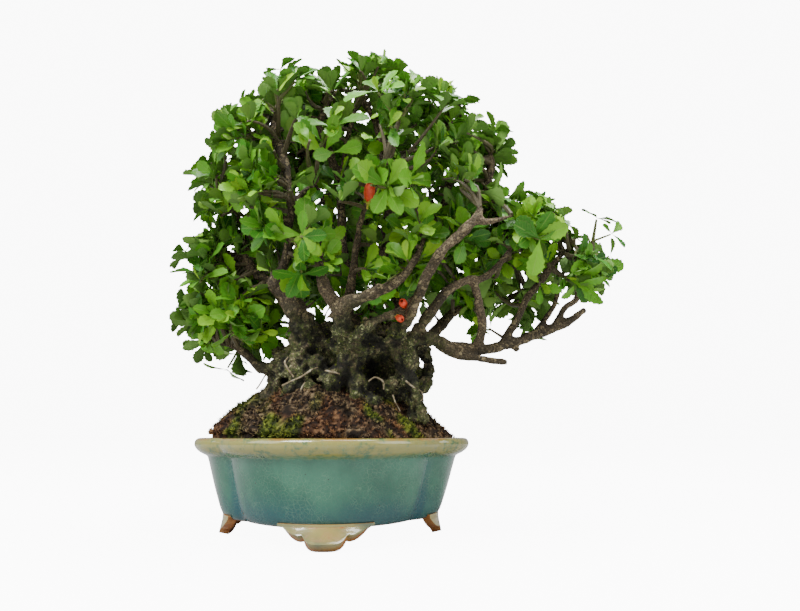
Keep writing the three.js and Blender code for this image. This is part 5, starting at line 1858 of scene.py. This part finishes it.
def petal(number, length):
    """One of the petals of a bud of that length, upright and in millimetres."""
    fresh()
    bpy.ops.mesh.primitive_grid_add(x_subdivisions=10, y_subdivisions=12, size=2, location=(0, 0, 0))
    sheet = bpy.context.object
    scale = length / BUD_LENGTH
    heights, radii = np.array(BUD_PROFILE).T
    for vertex in sheet.data.vertices:
        across, up = vertex.co.x, (vertex.co.y + 1) / 2
        rounded = math.sqrt(max(1 - (2 * up - 1) ** 6, 0.05)) if up > 0.5 else 1
        turn = math.tau * number / PETALS + across * 1.05 * rounded + 0.55 * up
        ripple = 0.12 * math.sin(9 * across + 2 * number) * up**2
        radius = (np.interp(up * 1.05, heights, radii) + 0.42 * across + ripple + 0.2) * scale
        height = (up * 1.04 - 0.06 * across**2 * up + 0.05 * draw(number + 400) * up) * length
        vertex.co = (radius * math.cos(turn), radius * math.sin(turn), height)
    return modified(sheet, "SOLIDIFY", thickness=0.3 * scale, offset=0)


def cup(length):
    """The calyx and its stalk: a closed stack of rings, with lobes at the rim."""
    fresh()
    bpy.ops.mesh.primitive_circle_add(vertices=30, radius=1, fill_type="NGON", location=(0, 0, 0))
    calyx = bpy.context.object
    rows = [tuple(row) for row in smoothed(CUP_PROFILE, 3)]
    rows += [(height - 0.5, radius - 0.5) for height, radius in rows[-1:-6:-1]]
    with editing():
        bpy.ops.transform.translate(value=(0, 0, rows[0][0]))
        bpy.ops.transform.resize(value=(rows[0][1],) * 2 + (1,), center_override=(0, 0, 0))
        for row, next_row in zip(rows, rows[1:]):
            bpy.ops.mesh.extrude_region_move(TRANSFORM_OT_translate={"value": (0, 0, next_row[0] - row[0])})
            bpy.ops.transform.resize(value=(next_row[1] / row[1],) * 2 + (1,), center_override=(0, 0, 0))
        bpy.ops.mesh.select_all(action="SELECT")
        bpy.ops.mesh.normals_make_consistent(inside=False)
    scale = length / BUD_LENGTH
    for vertex in calyx.data.vertices:
        x, y, z = vertex.co
        lobe = max(z - 0.6, 0) * (0.35 + 0.65 * math.cos(5 * math.atan2(y, x)))
        vertex.co = (x * scale, y * scale, z * scale if z < 0.6 else (0.6 + lobe) * scale)
    return calyx


petal_red, sockets, place = new_material("Orange-red petal")
streak = place.grain(2.2, detail=4)
tone = streak.ramp((0.3, colour(222, 58, 34)), (0.7, colour(246, 104, 66)))
feed(sockets, Base_Color=tone, Roughness=0.5, Normal=streak.bump(0.15))
calyx_green, sockets, place = new_material("Calyx green")
blush = place.grain(3, detail=3)
tone = blush.ramp((0.35, colour(150, 166, 52)), (0.7, colour(206, 190, 84)))
feed(sockets, Base_Color=tone, Roughness=0.55, Normal=blush.bump(0.1))
for number, (at, axis, length) in enumerate(BLOOMS, 1):
    petals = joined(f"bud_{number}_petals", [petal(i, length) for i in range(PETALS)])
    smooth(turned_to(petals, at, axis), 60)
    finished(petals, petal_red, "petal", f"bloom_{number}_petals")
    calyx = turned_to(cup(length), at, axis)
    calyx.name = f"bud_{number}_calyx"
    finished(smooth(calyx, 60), calyx_green, "calyx", f"bloom_{number}_calyx")
